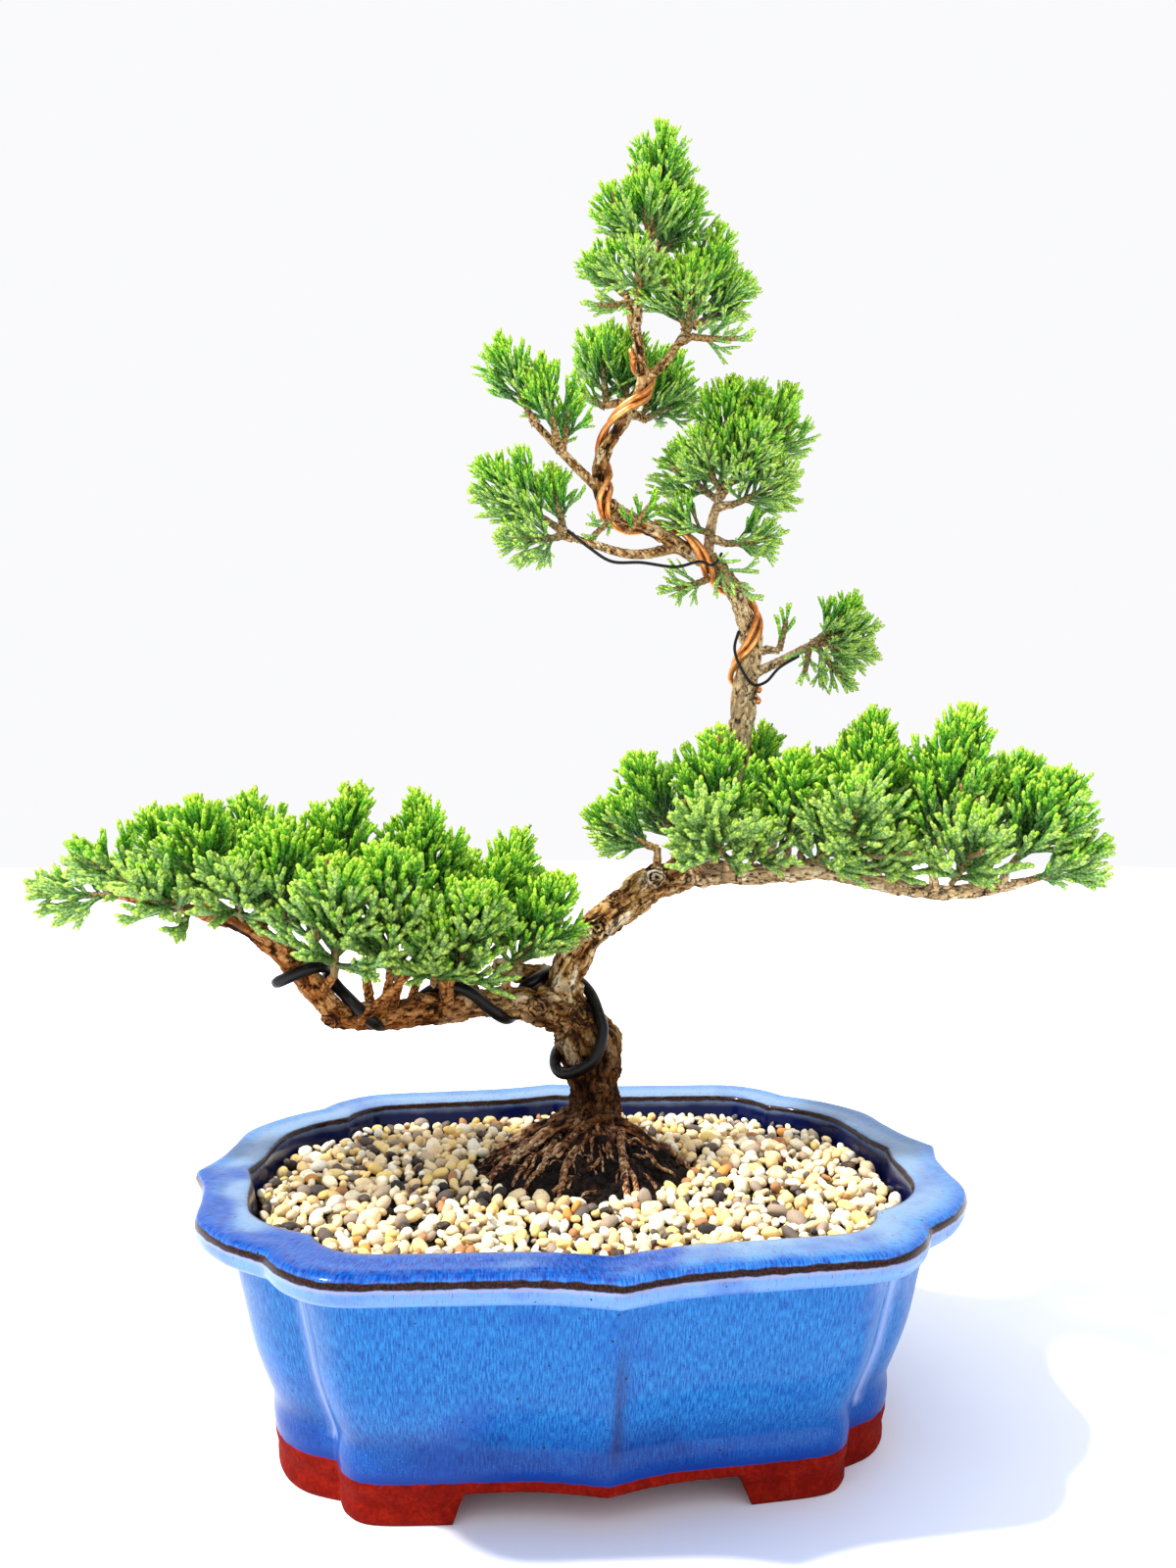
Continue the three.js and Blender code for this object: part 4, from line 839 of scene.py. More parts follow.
def split_lines(nodes, place, patches):
    """Dark lines where the bark has split between its plates."""
    stray = nodes.add("ShaderNodeTexNoise", {"Vector": place, "Scale": 0.5}).outputs["Color"]
    inputs = {0: stray, 1: (3.0, 3.0, 2.0), 2: nodes.stretch(place, 0.42)}
    shifted = nodes.add("ShaderNodeVectorMath", inputs, operation="MULTIPLY_ADD").outputs[0]
    inputs = {"Vector": shifted, "Scale": 0.52}
    edges = nodes.add("ShaderNodeTexVoronoi", inputs, feature="DISTANCE_TO_EDGE").outputs["Distance"]
    return nodes.times(nodes.span(edges, 0.015, 0.075, 1.0, 0.0), nodes.span(patches, 0.4, 0.56, 0.25, 1.0))


def weathered_and_shaded_tones(nodes, colour, height, patches, plate):
    """The bark's colour by plate and patch, redder to the left, paler to the right, darker low down, partly
    as painted shade.
    """
    colour = nodes.mix(0.5, colour, nodes.ramp(plate, PLATE_TONES), "MULTIPLY")
    colour = nodes.mix(nodes.span(patches, 0.54, 0.7, 0.0, 0.5), colour, paint(176, 116, 54))
    colour = nodes.mix(nodes.span(patches, 0.3, 0.42, 0.45, 0.0), colour, paint(150, 134, 116))
    sides = nodes.parts_of(nodes.place())
    # Darker low down on the trunk: partly painted shade, partly darker bark at its foot
    low_down = nodes.span(sides[2], 0.084, 0.12, 1.0, 0.0)
    colour = nodes.mix(low_down, colour, paint(126, 104, 82), "MULTIPLY")
    leftward = nodes.times(nodes.span(sides[0], -0.045, -0.02, 1.0, 0.0), nodes.span(sides[2], 0.08, 0.1))
    colour = nodes.mix(leftward, colour, paint(238, 198, 158), "MULTIPLY")
    rightward = nodes.times(nodes.span(sides[0], 0.03, 0.055), nodes.span(sides[2], 0.12, 0.14))
    colour = nodes.mix(nodes.times(rightward, 0.42), colour, paint(244, 220, 172))
    rooty = nodes.span(sides[2], 0.071, 0.077, 1.0, 0.0)
    # Roots by relief: their own reddish brown, with painted highlights on raised parts and painted shade low
    # down
    return nodes.mix(rooty, colour, nodes.ramp(height, ROOT_TONES))


def bark_finish(grain):
    """Bark in plates and strips, with split lines between them and rings round the knots."""
    material, nodes, shader = finish_named("flaking_juniper_bark", roughness=0.85, mirror=0.12)
    place = nodes.number("bark_place", "Vector")
    look = nodes.parts_of(nodes.number("bark_look", "Vector"))
    relief, crack, plate = look[0], look[1], look[2]
    fibres = nodes.noise(nodes.stretch(place, 0.2), 0.85, 4.0, 0.68)
    patches = nodes.noise(nodes.stretch(place, 0.5), 0.24, 3.0, 0.6)
    fine = nodes.use(grain, {"Vector": nodes.place(), "Scale": 1100.0})
    height = nodes.calc("ADD", nodes.times(relief, 0.55), nodes.times(fibres, 0.45))
    split = split_lines(nodes, place, patches)
    # The relief ramp paints shade low in the bark and highlights on its raised parts, over the bark's own
    # colours
    colour = weathered_and_shaded_tones(nodes, nodes.ramp(height, BARK_TONES), height, patches, plate)
    knots = nodes.number("knot")
    waver = nodes.times(nodes.noise(place, 0.42, 3.0), 0.75)
    rings = nodes.span(nodes.calc("SINE", nodes.times(nodes.calc("ADD", knots, waver), 22.0)), -0.2, 0.6)
    near_knot = nodes.times(nodes.span(knots, 0.1, 0.45), nodes.span(fibres, 0.3, 0.55, 0.5, 1.0))
    knot_rings = nodes.times(near_knot, rings)
    colour = nodes.mix(knot_rings, colour, paint(30, 16, 7))
    colour = nodes.mix(nodes.span(knots, 0.92, 1.1), colour, paint(20, 10, 5))
    colour = nodes.mix(nodes.times(split, 0.85), colour, paint(20, 9, 4))
    colour = nodes.mix(nodes.span(crack, 0.3, 0.8, 0.0, 0.85), colour, paint(12, 5, 3))
    specks = nodes.span(fine.outputs["Value"], 0.4, 0.62, 0.42, 0.0)
    nodes.feed(nodes.mix(specks, colour, paint(84, 54, 36), "MULTIPLY"), shader.inputs["Base Color"])
    normal = nodes.bump(nodes.calc("SUBTRACT", fibres, nodes.times(split, 0.5)), 1.0, 0.0012)
    detail = nodes.calc("ADD", fine.outputs["Height"], knot_rings)
    nodes.feed(nodes.bump(detail, 0.6, 0.0003, normal), shader.inputs["Normal"])
    return material


def foliage_finish(scales):
    """Scaly shoots: woody ones from the palette's first rows, then four kinds of green."""
    material, nodes, shader = finish_named("scaly_juniper_shoots", roughness=0.5, mirror=0.16)
    parts = nodes.parts_of(nodes.map("OFBake"))
    along = parts[0]
    spread = nodes.times(parts[1], float(PALETTE_ROWS))
    row = nodes.calc("FLOOR", spread)
    turn = nodes.calc("FRACT", spread)
    chance = nodes.add("ShaderNodeTexWhiteNoise", {"W": row}, noise_dimensions="1D").outputs[0]
    kind = nodes.calc("DIVIDE", nodes.calc("SUBTRACT", row, float(WOODY_ROWS)), float(ROWS_PER_KIND))
    # Dark shoot bases and the dark inner kind are painted shade; the brightest kind, on top, is partly
    # painted light
    colour = nodes.ramp(along, SHOOT_TONES[0])
    for i, tones in enumerate(SHOOT_TONES[1:], 1):
        chosen = nodes.calc("GREATER_THAN", kind, i - 0.02)
        colour = nodes.mix(chosen, colour, nodes.ramp(along, tones))
    colour = nodes.mix(nodes.times(chance, 0.2), colour, paint(36, 110, 30))
    woody = nodes.calc("LESS_THAN", row, WOODY_ROWS - 0.5)
    colour = nodes.mix(woody, colour, nodes.mix(chance, paint(168, 118, 66), paint(112, 84, 44)))
    leaf = nodes.use(scales, {"Along": along, "Round": turn, "Rows": SHOOT_REACH / 1.15, "Leaves": 2.0})
    # Painted shade in the gaps between the scale leaves, then the raised middle of each scale mixed toward
    # pale for its stomata
    shade = nodes.mix(leaf.outputs["Leaf"], nodes.mix(0.5, colour, paint(6, 34, 8)), colour)
    shade = nodes.mix(nodes.times(leaf.outputs["Height"], 0.16), shade, paint(214, 240, 170))
    nodes.feed(shade, shader.inputs["Base Color"])
    nodes.feed(nodes.bump(leaf.outputs["Height"], 0.6, 0.0003), shader.inputs["Normal"])
    return material


def pebble_finish():
    """Washed river pebbles, each with its own colour, blotches and specks."""
    material, nodes, shader = finish_named("river_pebbles", roughness=0.7, mirror=0.25)
    spot = nodes.map("OFBake")
    parts = nodes.parts_of(spot)
    cells = [nodes.calc("FLOOR", nodes.times(parts[i], float(PEBBLE_CELLS))) for i in (0, 1)]
    cell = nodes.add("ShaderNodeCombineXYZ", {0: cells[0], 1: cells[1]}).outputs[0]
    white = nodes.add("ShaderNodeTexWhiteNoise", {"Vector": cell}, noise_dimensions="2D")
    colour = nodes.ramp(white.outputs["Value"], PEBBLE_TONES, "CONSTANT")
    blotch = nodes.noise(spot, 130.0, 3.0, 0.6)
    colour = nodes.mix(nodes.span(blotch, 0.5, 0.75, 0.0, 0.4), colour, paint(196, 150, 96))
    specks = nodes.noise(spot, 420.0, 2.0, 0.7)
    colour = nodes.mix(nodes.span(specks, 0.55, 0.75, 0.0, 0.5), colour, paint(96, 78, 60))
    nodes.feed(colour, shader.inputs["Base Color"])
    nodes.feed(nodes.span(blotch, 0.3, 0.7, 0.55, 0.82), shader.inputs["Roughness"])
    nodes.feed(nodes.bump(specks, 0.4, 0.00025), shader.inputs["Normal"])
    return material


def worn_finish(name, grain, scale, tones, relief, shine=None, dust=None, **constants):
    """A material whose colour and relief follow one grain.

    shine gives its roughness from low to high grain, and dust the group, scale, amount and
    colour of what settled on it."""
    material, nodes, shader = finish_named(name, **constants)
    worn = nodes.use(grain, {"Vector": nodes.place(), "Scale": scale})
    colour = nodes.ramp(worn.outputs["Value"], tones)
    if dust:
        group, dust_scale, amount, tone = dust
        soiled = nodes.use(group, {"Scale": dust_scale, "Amount": amount}).outputs["Mask"]
        colour = nodes.mix(soiled, colour, paint(*tone))
    nodes.feed(colour, shader.inputs["Base Color"])
    if shine:
        nodes.feed(nodes.span(worn.outputs["Value"], 0.3, 0.7, *shine), shader.inputs["Roughness"])
    nodes.feed(nodes.bump(worn.outputs["Height"], *relief), shader.inputs["Normal"])
    return material


def soil_finish(grain):
    tones = [(0.3, (6, 4, 3)), (0.5, (22, 13, 9)), (0.62, (54, 34, 23)), (0.75, (110, 78, 54))]
    return worn_finish("dark_crumbly_soil", grain, 700.0, tones, (0.9, 0.0012), roughness=0.9, mirror=0.2)


def black_wire_finish(grain, dust):
    tones = [(0.0, (4, 4, 3)), (1.0, (16, 14, 12))]
    return worn_finish("black_coated_wire", grain, 500.0, tones, (0.2, 0.0002), (0.26, 0.46),
                       (dust, 420.0, 0.16, (120, 104, 84)), mirror=0.22)


def copper_finish(grain, dust):
    tones = [(0.3, (140, 74, 30)), (0.48, (212, 132, 66)), (0.68, (250, 190, 116))]
    return worn_finish("annealed_copper_wire", grain, 650.0, tones, (0.15, 0.0002), (0.5, 0.28),
                       (dust, 500.0, 0.25, (96, 66, 44)), metallic=0.85)


def mesh_plastic_finish(grain):
    tones = [(0.0, (18, 18, 20)), (1.0, (46, 46, 48))]
    return worn_finish("black_drain_mesh_plastic", grain, 800.0, tones, (0.2, 0.0002), roughness=0.55)


# The pot

def side_curve(points, count):
    """Places on the plain spline through the points of one side of the plan."""
    points = np.array(points, float)
    last = len(points) - 1
    row = []
    for t in np.linspace(0, 1, count, endpoint=False) * last:
        i = min(int(t), last - 1)
        p0, p1 = points[max(i - 1, 0)], points[i]
        p2, p3 = points[i + 1], points[min(i + 2, last)]
        row.append(spline(p1, p2, (p2 - p0) / 2, (p3 - p1) / 2, t - i))
    return np.array(row)


foot_quarter = np.concatenate([side_curve(side, POINTS_PER_SIDE) for side in (FOOT_LONG, FOOT_SHORT)])
rim_quarter = np.concatenate([side_curve(RIM_LONG, POINTS_PER_SIDE), side_curve(RIM_SHORT, POINTS_PER_SIDE)])


def plan_ring(growth, z):
    """The pot's plan at one growth and height, all the way round, counter-clockwise."""
    quarter = mixed(foot_quarter, rim_quarter, growth)
    end = mixed(np.array(FOOT_SHORT[-1], float), np.array(RIM_SHORT[-1], float), growth)
    half = np.concatenate([quarter, [end], quarter[:0:-1] * [1, -1]])
    ring = np.concatenate([half, [quarter[0] * [1, -1]], half[:0:-1] * [-1, 1]])[::-1]
    return np.column_stack([ring, np.full(len(ring), z)])


def smooth_rows(rows, step):
    """The same section with rows close enough together to look curved, and their marks."""
    rows = np.array(rows, float)
    marks = section_marks(rows)
    wanted = []
    for a, b in zip(marks[:-1], marks[1:]):
        wanted.extend(np.linspace(a, b, max(1, round((b - a) / step)), endpoint=False))
    wanted.append(marks[-1])
    slopes = np.gradient(rows, marks, axis=0)
    out = []
    for mark in wanted:
        i = min(int(np.searchsorted(marks, mark, side="right")) - 1, len(marks) - 2)
        span = marks[i + 1] - marks[i]
        share = (mark - marks[i]) / span
        out.append(spline(rows[i], rows[i + 1], slopes[i] * span, slopes[i + 1] * span, share))
    return np.array(out), np.array(wanted)


def cut_from(piece, cutter):
    """Cuts a closed helper mesh out of a piece and takes the helper away."""
    cut = piece.modifiers.new("cut", "BOOLEAN")
    cut.operation = "DIFFERENCE"
    cut.solver = "MANIFOLD"
    cut.object = cutter
    graph = bpy.context.evaluated_depsgraph_get()
    mesh = bpy.data.meshes.new_from_object(piece.evaluated_get(graph), depsgraph=graph)
    piece.modifiers.clear()
    old = piece.data
    piece.data = mesh
    mesh.name = old.name
    bpy.data.meshes.remove(old)
    bpy.data.objects.remove(cutter)


def loose(mesh):
    """A plain object in the scene: a helper that is taken away after use, or the floor."""
    helper = bpy.data.objects.new(mesh.name, mesh)
    bpy.context.scene.collection.objects.link(helper)
    return helper


def glaze_map(marks, count):
    """Map places, in millimetres round the pot and along its section, for its lofted faces."""
    middle_ring = np.vstack([plan_ring(0.5, 0), plan_ring(0.5, 0)[:1]])
    across = np.tile(distances_along(middle_ring), (len(marks), 1))
    along = np.tile(marks[:, None], (1, count + 1))
    r, k = np.meshgrid(np.arange(len(marks) - 1), np.arange(count), indexing="ij")
    corners = [(r, k), (r, k + 1), (r + 1, k + 1), (r + 1, k)]
    quads = np.stack([np.stack([across[c].ravel(), along[c].ravel()], axis=1) for c in corners], axis=1)
    fans = [np.tile([[0.0, marks[i]]], (3 * count, 1)) for i in (0, -1)]
    return np.concatenate([quads.reshape(-1, 2), *fans])


def lobe_lines(heights, marks, count):
    """Where the wall's lobes meet in a ridge, and a line down each corner notch where a pale highlight is
    painted.
    """
    quarter_place = (np.arange(count) % (count // 4)) / (count // 4)
    ring_index = np.concatenate([np.tile(np.arange(count), len(marks)), [0, 0]])
    from_cusp = np.minimum(quarter_place, 1 - quarter_place)[ring_index]
    from_notch = np.abs(quarter_place - 0.5)[ring_index]
    wall = (heights > GLAZE_LINE + 6) & (heights < 62)
    outer = np.concatenate([np.repeat(marks < section_mark(66), count), [False, False]])
    ridge = np.exp(-(from_cusp / 0.012) ** 2) * np.interp(heights, [15, 19, 40, 52], [0, 1, 0.75, 0]) * outer
    # A thin line beside each corner notch for a pale painted highlight, standing for the room's reflection on
    # the notch's edge
    notch_highlight_line = np.exp(-((from_notch - 0.02) / 0.012) ** 2) * wall * outer
    return {"cusp": ridge, "notch": notch_highlight_line}


def pot_cutters():
    """Solids cut out of the pot: the recess under it, the arches between its feet, the drains."""
    cutters = [loft([plan_ring(-0.5, -1), plan_ring(-0.5, FOOT_HEIGHT)])]
    for half, along_x in ((ARCH_HALF_LONG, False), (ARCH_HALF_SHORT, True)):
        top = half - ARCH_SLANT
        outline = [(-half, -1), (half, -1), (top, FOOT_HEIGHT), (-top, FOOT_HEIGHT)]
        ends = [np.array([(reach, u, v) if along_x else (u, reach, v) for u, v in outline])
                for reach in (CUT_REACH, -CUT_REACH)]
        cutters.append(loft(ends[::-1] if along_x else ends))
    turn = np.linspace(0, 2 * math.pi, 32, endpoint=False)
    for sign in (-1, 1):
        ring = np.column_stack([sign * DRAIN_SPACING / 2 + DRAIN_RADIUS * np.cos(turn),
                                DRAIN_RADIUS * np.sin(turn), np.zeros(32)])
        cutters.append(loft([ring + [0, 0, -5], ring + [0, 0, FLOOR_TOP + 5]]))
    return cutters


def make_pot(material):
    section, marks = smooth_rows(OUTSIDE + RIM_TOP + INSIDE, SECTION_STEP)
    rings = [plan_ring(growth, z) for z, growth in section]
    count = len(rings[0])
    points, faces = loft(rings)
    mesh = make_mesh("pot_glazed_lobed", points, faces, {"glaze": glaze_map(marks, count)},
                     lobe_lines(points[:, 2], marks, count))
    piece = add_piece(mesh, material, "glaze", "pot")
    for cutter_points, cutter_faces in pot_cutters():
        cut_from(piece, loose(make_mesh("pot_cut", cutter_points, cutter_faces)))


# Soil and gravel

def mound_slice(rise):
    """The mound's middle and radius at a rise, from its foot (0) to its top (1)."""
    x = mixed(MOUND_FOOT[0], MOUND_TOP[0], rise)
    y = mixed(MOUND_FOOT[1], MOUND_TOP[1], rise)
    return x, y, MOUND_RADIUS * (1 - MOUND_TAPER * rise)


def mound_level(rise):
    return np.interp(rise, *zip(*MOUND_STEPS))


def mound_ring(rise, z, count):
    x, y, radius = mound_slice(rise)
    angle = math.pi / 2 + np.linspace(0, 2 * math.pi, count, endpoint=False)
    return np.column_stack([x + radius * np.cos(angle), y + radius * np.sin(angle), np.full(count, z)])


def mound_height(x, y):
    """How high the soil stands at a place."""
    best = SOIL_TOP
    for rise in np.linspace(MOUND_LOW, 1.0, 57):
        middle_x, middle_y, radius = mound_slice(rise)
        if np.hypot(x - middle_x, y - middle_y) < radius:
            best = max(best, float(mound_level(rise)))
    return best


def soil_roughness(x, y):
    """Crumbs and hollows of the soil, a little lower near the trunk."""
    near_trunk = min(1.0, max(0.0, 1.5 - math.hypot(x - MOUND_TOP[0], y - MOUND_TOP[1]) / 24.0))
    return 1.9 * noise.fractal(Vector((x / 5.0, y / 5.0, 3.0)), 0.8, 2.0, 5) - 1.8 * near_trunk


def soil_surface(x, y):
    """The mound with its crumbs."""
    return mound_height(x, y) + soil_roughness(x, y)


def loose_crumb(shape, chance):
    """One crumb of soil that lies on the mound or beside it."""
    angle = chance.uniform(0, 2 * math.pi)
    reach = MOUND_RADIUS * 1.2 * math.sqrt(chance.random())
    x = MOUND_FOOT[0] + reach * math.cos(angle)
    y = MOUND_FOOT[1] + reach * math.sin(angle) + 4
    size = chance.uniform(0.35, 1.0) if chance.random() < 0.85 else chance.uniform(1.0, 1.9)
    crumb = shape * size * [chance.uniform(0.7, 1.3) for _ in range(3)]
    return crumb @ turned(chance).T + [x, y, soil_surface(x, y) + size * 0.3]


def make_soil(material, chance):
    rings = [plan_ring(growth, z) for z, growth in SOIL_SECTION]
    rings = [ring[np.linspace(0, len(ring), SOIL_POINTS, endpoint=False).astype(int)] for ring in rings]
    outer, foot = rings[-1], mound_ring(MOUND_LOW, SOIL_TOP, SOIL_POINTS)
    rings.extend(mixed(outer, foot, share) for share in np.linspace(0, 1, 14)[1:])
    rises = np.linspace(MOUND_LOW, 1.0, 52)[1:]
    rings.extend(mound_ring(rise, mound_level(rise), SOIL_POINTS) for rise in rises)
    for shrink in (0.6, 0.25):
        rings.append(mixed(rings[-1].mean(axis=0), rings[-1], shrink))
    points, faces = loft(rings)
    for i in np.nonzero(points[:, 2] > SOIL_TOP - 0.5)[0]:
        x, y, z = points[i]
        points[i, 2] += soil_roughness(x, y) + 0.6 * noise.noise(Vector((x / 1.1, y / 1.1, z / 1.1)))
    shape, shape_faces = round_stone(0)
    parts = [(points, faces)]
    parts.extend((loose_crumb(shape, chance), [shape_faces]) for _ in range(SOIL_CRUMBS))
    mesh = make_mesh("soil_crumbly_mound", *joined(parts), smooth=False)
    add_piece(mesh, material, "soil", "soil")


def round_stone(rounds):
    """Points and triangles of an even ball of radius 1."""
    golden = (1 + 5 ** 0.5) / 2
    points = [(-1, golden, 0), (1, golden, 0), (-1, -golden, 0), (1, -golden, 0), (0, -1, golden),
              (0, 1, golden), (0, -1, -golden), (0, 1, -golden), (golden, 0, -1), (golden, 0, 1),
              (-golden, 0, -1), (-golden, 0, 1)]
    faces = [(0, 11, 5), (0, 5, 1), (0, 1, 7), (0, 7, 10), (0, 10, 11), (1, 5, 9), (5, 11, 4),
             (11, 10, 2), (10, 7, 6), (7, 1, 8), (3, 9, 4), (3, 4, 2), (3, 2, 6), (3, 6, 8),
             (3, 8, 9), (4, 9, 5), (2, 4, 11), (6, 2, 10), (8, 6, 7), (9, 8, 1)]
    points = [unit(p) for p in points]
    for _ in range(rounds):
        middles = {}
        smaller = []

        def middle(a, b):
            key = (min(a, b), max(a, b))
            if key not in middles:
                middles[key] = len(points)
                points.append(unit(points[a] + points[b]))
            return middles[key]

        for a, b, c in faces:
            ab, bc, ca = middle(a, b), middle(b, c), middle(c, a)
            smaller.extend([(a, ab, ca), (b, bc, ab), (c, ca, bc), (ab, bc, ca)])
        faces = smaller
    return np.array(points), np.array(faces)


def turned(chance):
    """A rotation drawn at random."""
    q = np.array([chance.gauss(0, 1) for _ in range(4)])
    w, x, y, z = q / np.linalg.norm(q)
    return np.array([
        [1 - 2 * (y * y + z * z), 2 * (x * y - z * w), 2 * (x * z + y * w)],
        [2 * (x * y + z * w), 1 - 2 * (x * x + z * z), 2 * (y * z - x * w)],
        [2 * (x * z - y * w), 2 * (y * z + x * w), 1 - 2 * (x * x + y * y)]])


def pebble_places(chance):
    """Places, sizes and heights of pebbles, bed first, with none pushed far into another."""
    ring = plan_ring(0.30, 0)[:, :2]
    angles = np.arctan2(ring[:, 1], ring[:, 0])
    order = np.argsort(angles)
    angles, reaches = angles[order], np.hypot(ring[order, 0], ring[order, 1])
    placed = []
    for level, wanted, closeness in PEBBLE_LAYERS:
        layer = []
        grid = {}
        tries = 0
        while len(layer) < wanted and tries < 60000:
            tries += 1
            early = tries < 12000
            large = early and chance.random() < 0.3
            size = chance.uniform(2.1, 3.1) if large else chance.uniform(1.2, 2.3)
            x, y = chance.uniform(-100, 100), chance.uniform(-86, 86)
            reach = float(np.interp(math.atan2(y, x), angles, reaches, period=2 * math.pi))
            if math.hypot(x, y) > reach - size * 0.75:
                continue
            ragged = 4.0 * noise.noise(Vector((x / 9.0, y / 9.0, 7.0)))
            if math.hypot(x - MOUND_FOOT[0], y - MOUND_FOOT[1] - 1) < MOUND_RADIUS * 0.98 + ragged:
                continue
            cell = (int(x // 7), int(y // 7))
            around = [(cell[0] + i, cell[1] + j) for i in (-1, 0, 1) for j in (-1, 0, 1)]
            near = [pebble for key in around for pebble in grid.get(key, [])]
            if any(math.hypot(x - px, y - py) < (size + ps) * closeness for px, py, ps in near):
                continue
            grid.setdefault(cell, []).append((x, y, size))
            layer.append((x, y, level + chance.uniform(-0.5, 0.7), size))
        placed.extend(layer)
    return placed


def pebble_shape(shape, size, number, chance):
    """A round stone made blunt, uneven and flat, and turned at random."""
    blunt = unit(np.sign(shape) * np.abs(shape) ** chance.uniform(0.72, 1.0))
    shift = Vector((number * 7.3, 0, 0))
    uneven = 1 + 0.2 * np.array([noise.noise(Vector(p) * 1.1 + shift) for p in shape])
    stretch = [chance.uniform(1.0, 1.25), chance.uniform(0.66, 0.95), chance.uniform(0.5, 0.8)]
    stone = blunt * uneven[:, None] * size * stretch @ turned(chance).T
    return stone * [1.0, 1.0, 0.86]


def make_gravel(material, chance):
    coarse, fine = round_stone(0), round_stone(1)
    parts = []
    maps = []
    for i, (x, y, z, size) in enumerate(pebble_places(chance)):
        shape, faces = fine if z > GRAVEL_BED + 0.9 or size > 2.2 else coarse
        parts.append((pebble_shape(shape, size, i, chance) + [x, y, z], [faces]))
        cell = np.array([i % PEBBLE_CELLS, i // PEBBLE_CELLS])
        spot = (cell + 0.5 + 0.42 * shape[:, :2]) / PEBBLE_CELLS
        maps.append(spot[faces].reshape(-1, 2))
    points, faces = joined(parts)
    mesh = make_mesh("gravel_river_pebbles", points, faces, {"OFBake": np.concatenate(maps)})
    add_piece(mesh, material, "gravel", "gravel")


# Wood

def limb_samples():
    """Points down the middle of every thick limb: name, path, radii, distances and frames."""
    rows = []
    for name in THICK_LIMBS:
        length = path_length(curve_points(np.array(LIMBS[name], float)[:, :3], 60))
        ts = np.linspace(0, 1, max(8, round(length)))
        path = np.array([limb_point(name, t) for t in ts])
        radii = np.array([limb_radius(name, t) for t in ts])
        rows.append((name, path, radii, distances_along(path), *path_frames(path)))
    return rows


def rough_limb(path, radii, sides, seed):
    """A limb's tube, lumpy on the scale of its own thickness."""
    across, other = path_frames(path)
    angles = np.linspace(0, 2 * math.pi, sides, endpoint=False)
    rings = []
    for point, radius, a, b in zip(path, radii, across, other):
        spokes = np.cos(angles)[:, None] * a + np.sin(angles)[:, None] * b
        lumps = [1 + 0.13 * noise.noise(Vector((point + s * radius) / (radius * 2.2)) + Vector((seed, 0, 0)))
                 for s in spokes]
        rings.append(point + spokes * radius * np.array(lumps)[:, None])
    return loft(rings)


def knot_places():
    """The middle, direction and size of each knot."""
    places = []
    for limb, t, toward, size in KNOTS:
        direction = unit(np.array(toward, float))
        tangent = limb_direction(limb, t)
        direction = unit(direction - tangent * (direction @ tangent) * 0.7)
        radius = limb_radius(limb, t)
        centre = limb_point(limb, t) + direction * (radius + 0.2)
        places.append((centre, direction, size))
    return places


def bark_relief(place, grain, depth):
    """The bark at a place round (x, y) and along (z) a limb, with plates of the size of grain.
    Returns how far it stands out in millimetres, how deep in a crack it is, and its plate."""
    twist = 0.02 * place[2]
    x = place[0] * math.cos(twist) - place[1] * math.sin(twist)
    y = place[0] * math.sin(twist) + place[1] * math.cos(twist)
    bend = Vector((x / 4.5, y / 4.5, place[2] / 6.0))
    stray = noise.noise_vector(bend) * grain * 0.5
    spot = Vector(((x + stray.x) / grain, (y + stray.y) / grain, (place[2] + stray.z * 1.5) / (grain * 1.9)))
    distances, centres = noise.voronoi(spot)
    crack = max(0.0, 1.0 - (distances[1] - distances[0]) / 0.14)
    plate = noise.cell(centres[0] * 7.7)
    curl = spot.z - centres[0].z
    strips = noise.fractal(Vector((x / 1.7, y / 1.7, place[2] / 7.0)), 0.8, 2.0, 3)
    flakes = noise.fractal(Vector((x / 0.9, y / 0.9, place[2] / 2.6 + 90.0)), 0.7, 2.0, 2)
    lumps = noise.fractal(Vector((x / 5.0, y / 5.0, place[2] / 9.0 + 40.0)), 0.9, 2.0, 3)
    open_crack = crack * min(1.0, max(0.0, 0.75 + 1.3 * lumps))
    lift = 0.35 * plate + 0.5 * curl + 0.7 * strips + 0.35 * flakes + 1.35 * lumps
    lift = depth * (lift - 0.9 * open_crack)
    return lift, open_crack, 0.5 + 0.5 * plate


def barked_stem(rows, count, step, sides, roughness):
    """A thin barked tube through rows of places, each with its radius."""
    rows = np.array(rows, float)
    path = evenly(curve_points(rows[:, :3], count), step)
    radii = np.interp(np.linspace(0, 1, len(path)), np.linspace(0, 1, len(rows)), rows[:, 3])
    return bark_tube(path, radii, sides, roughness)


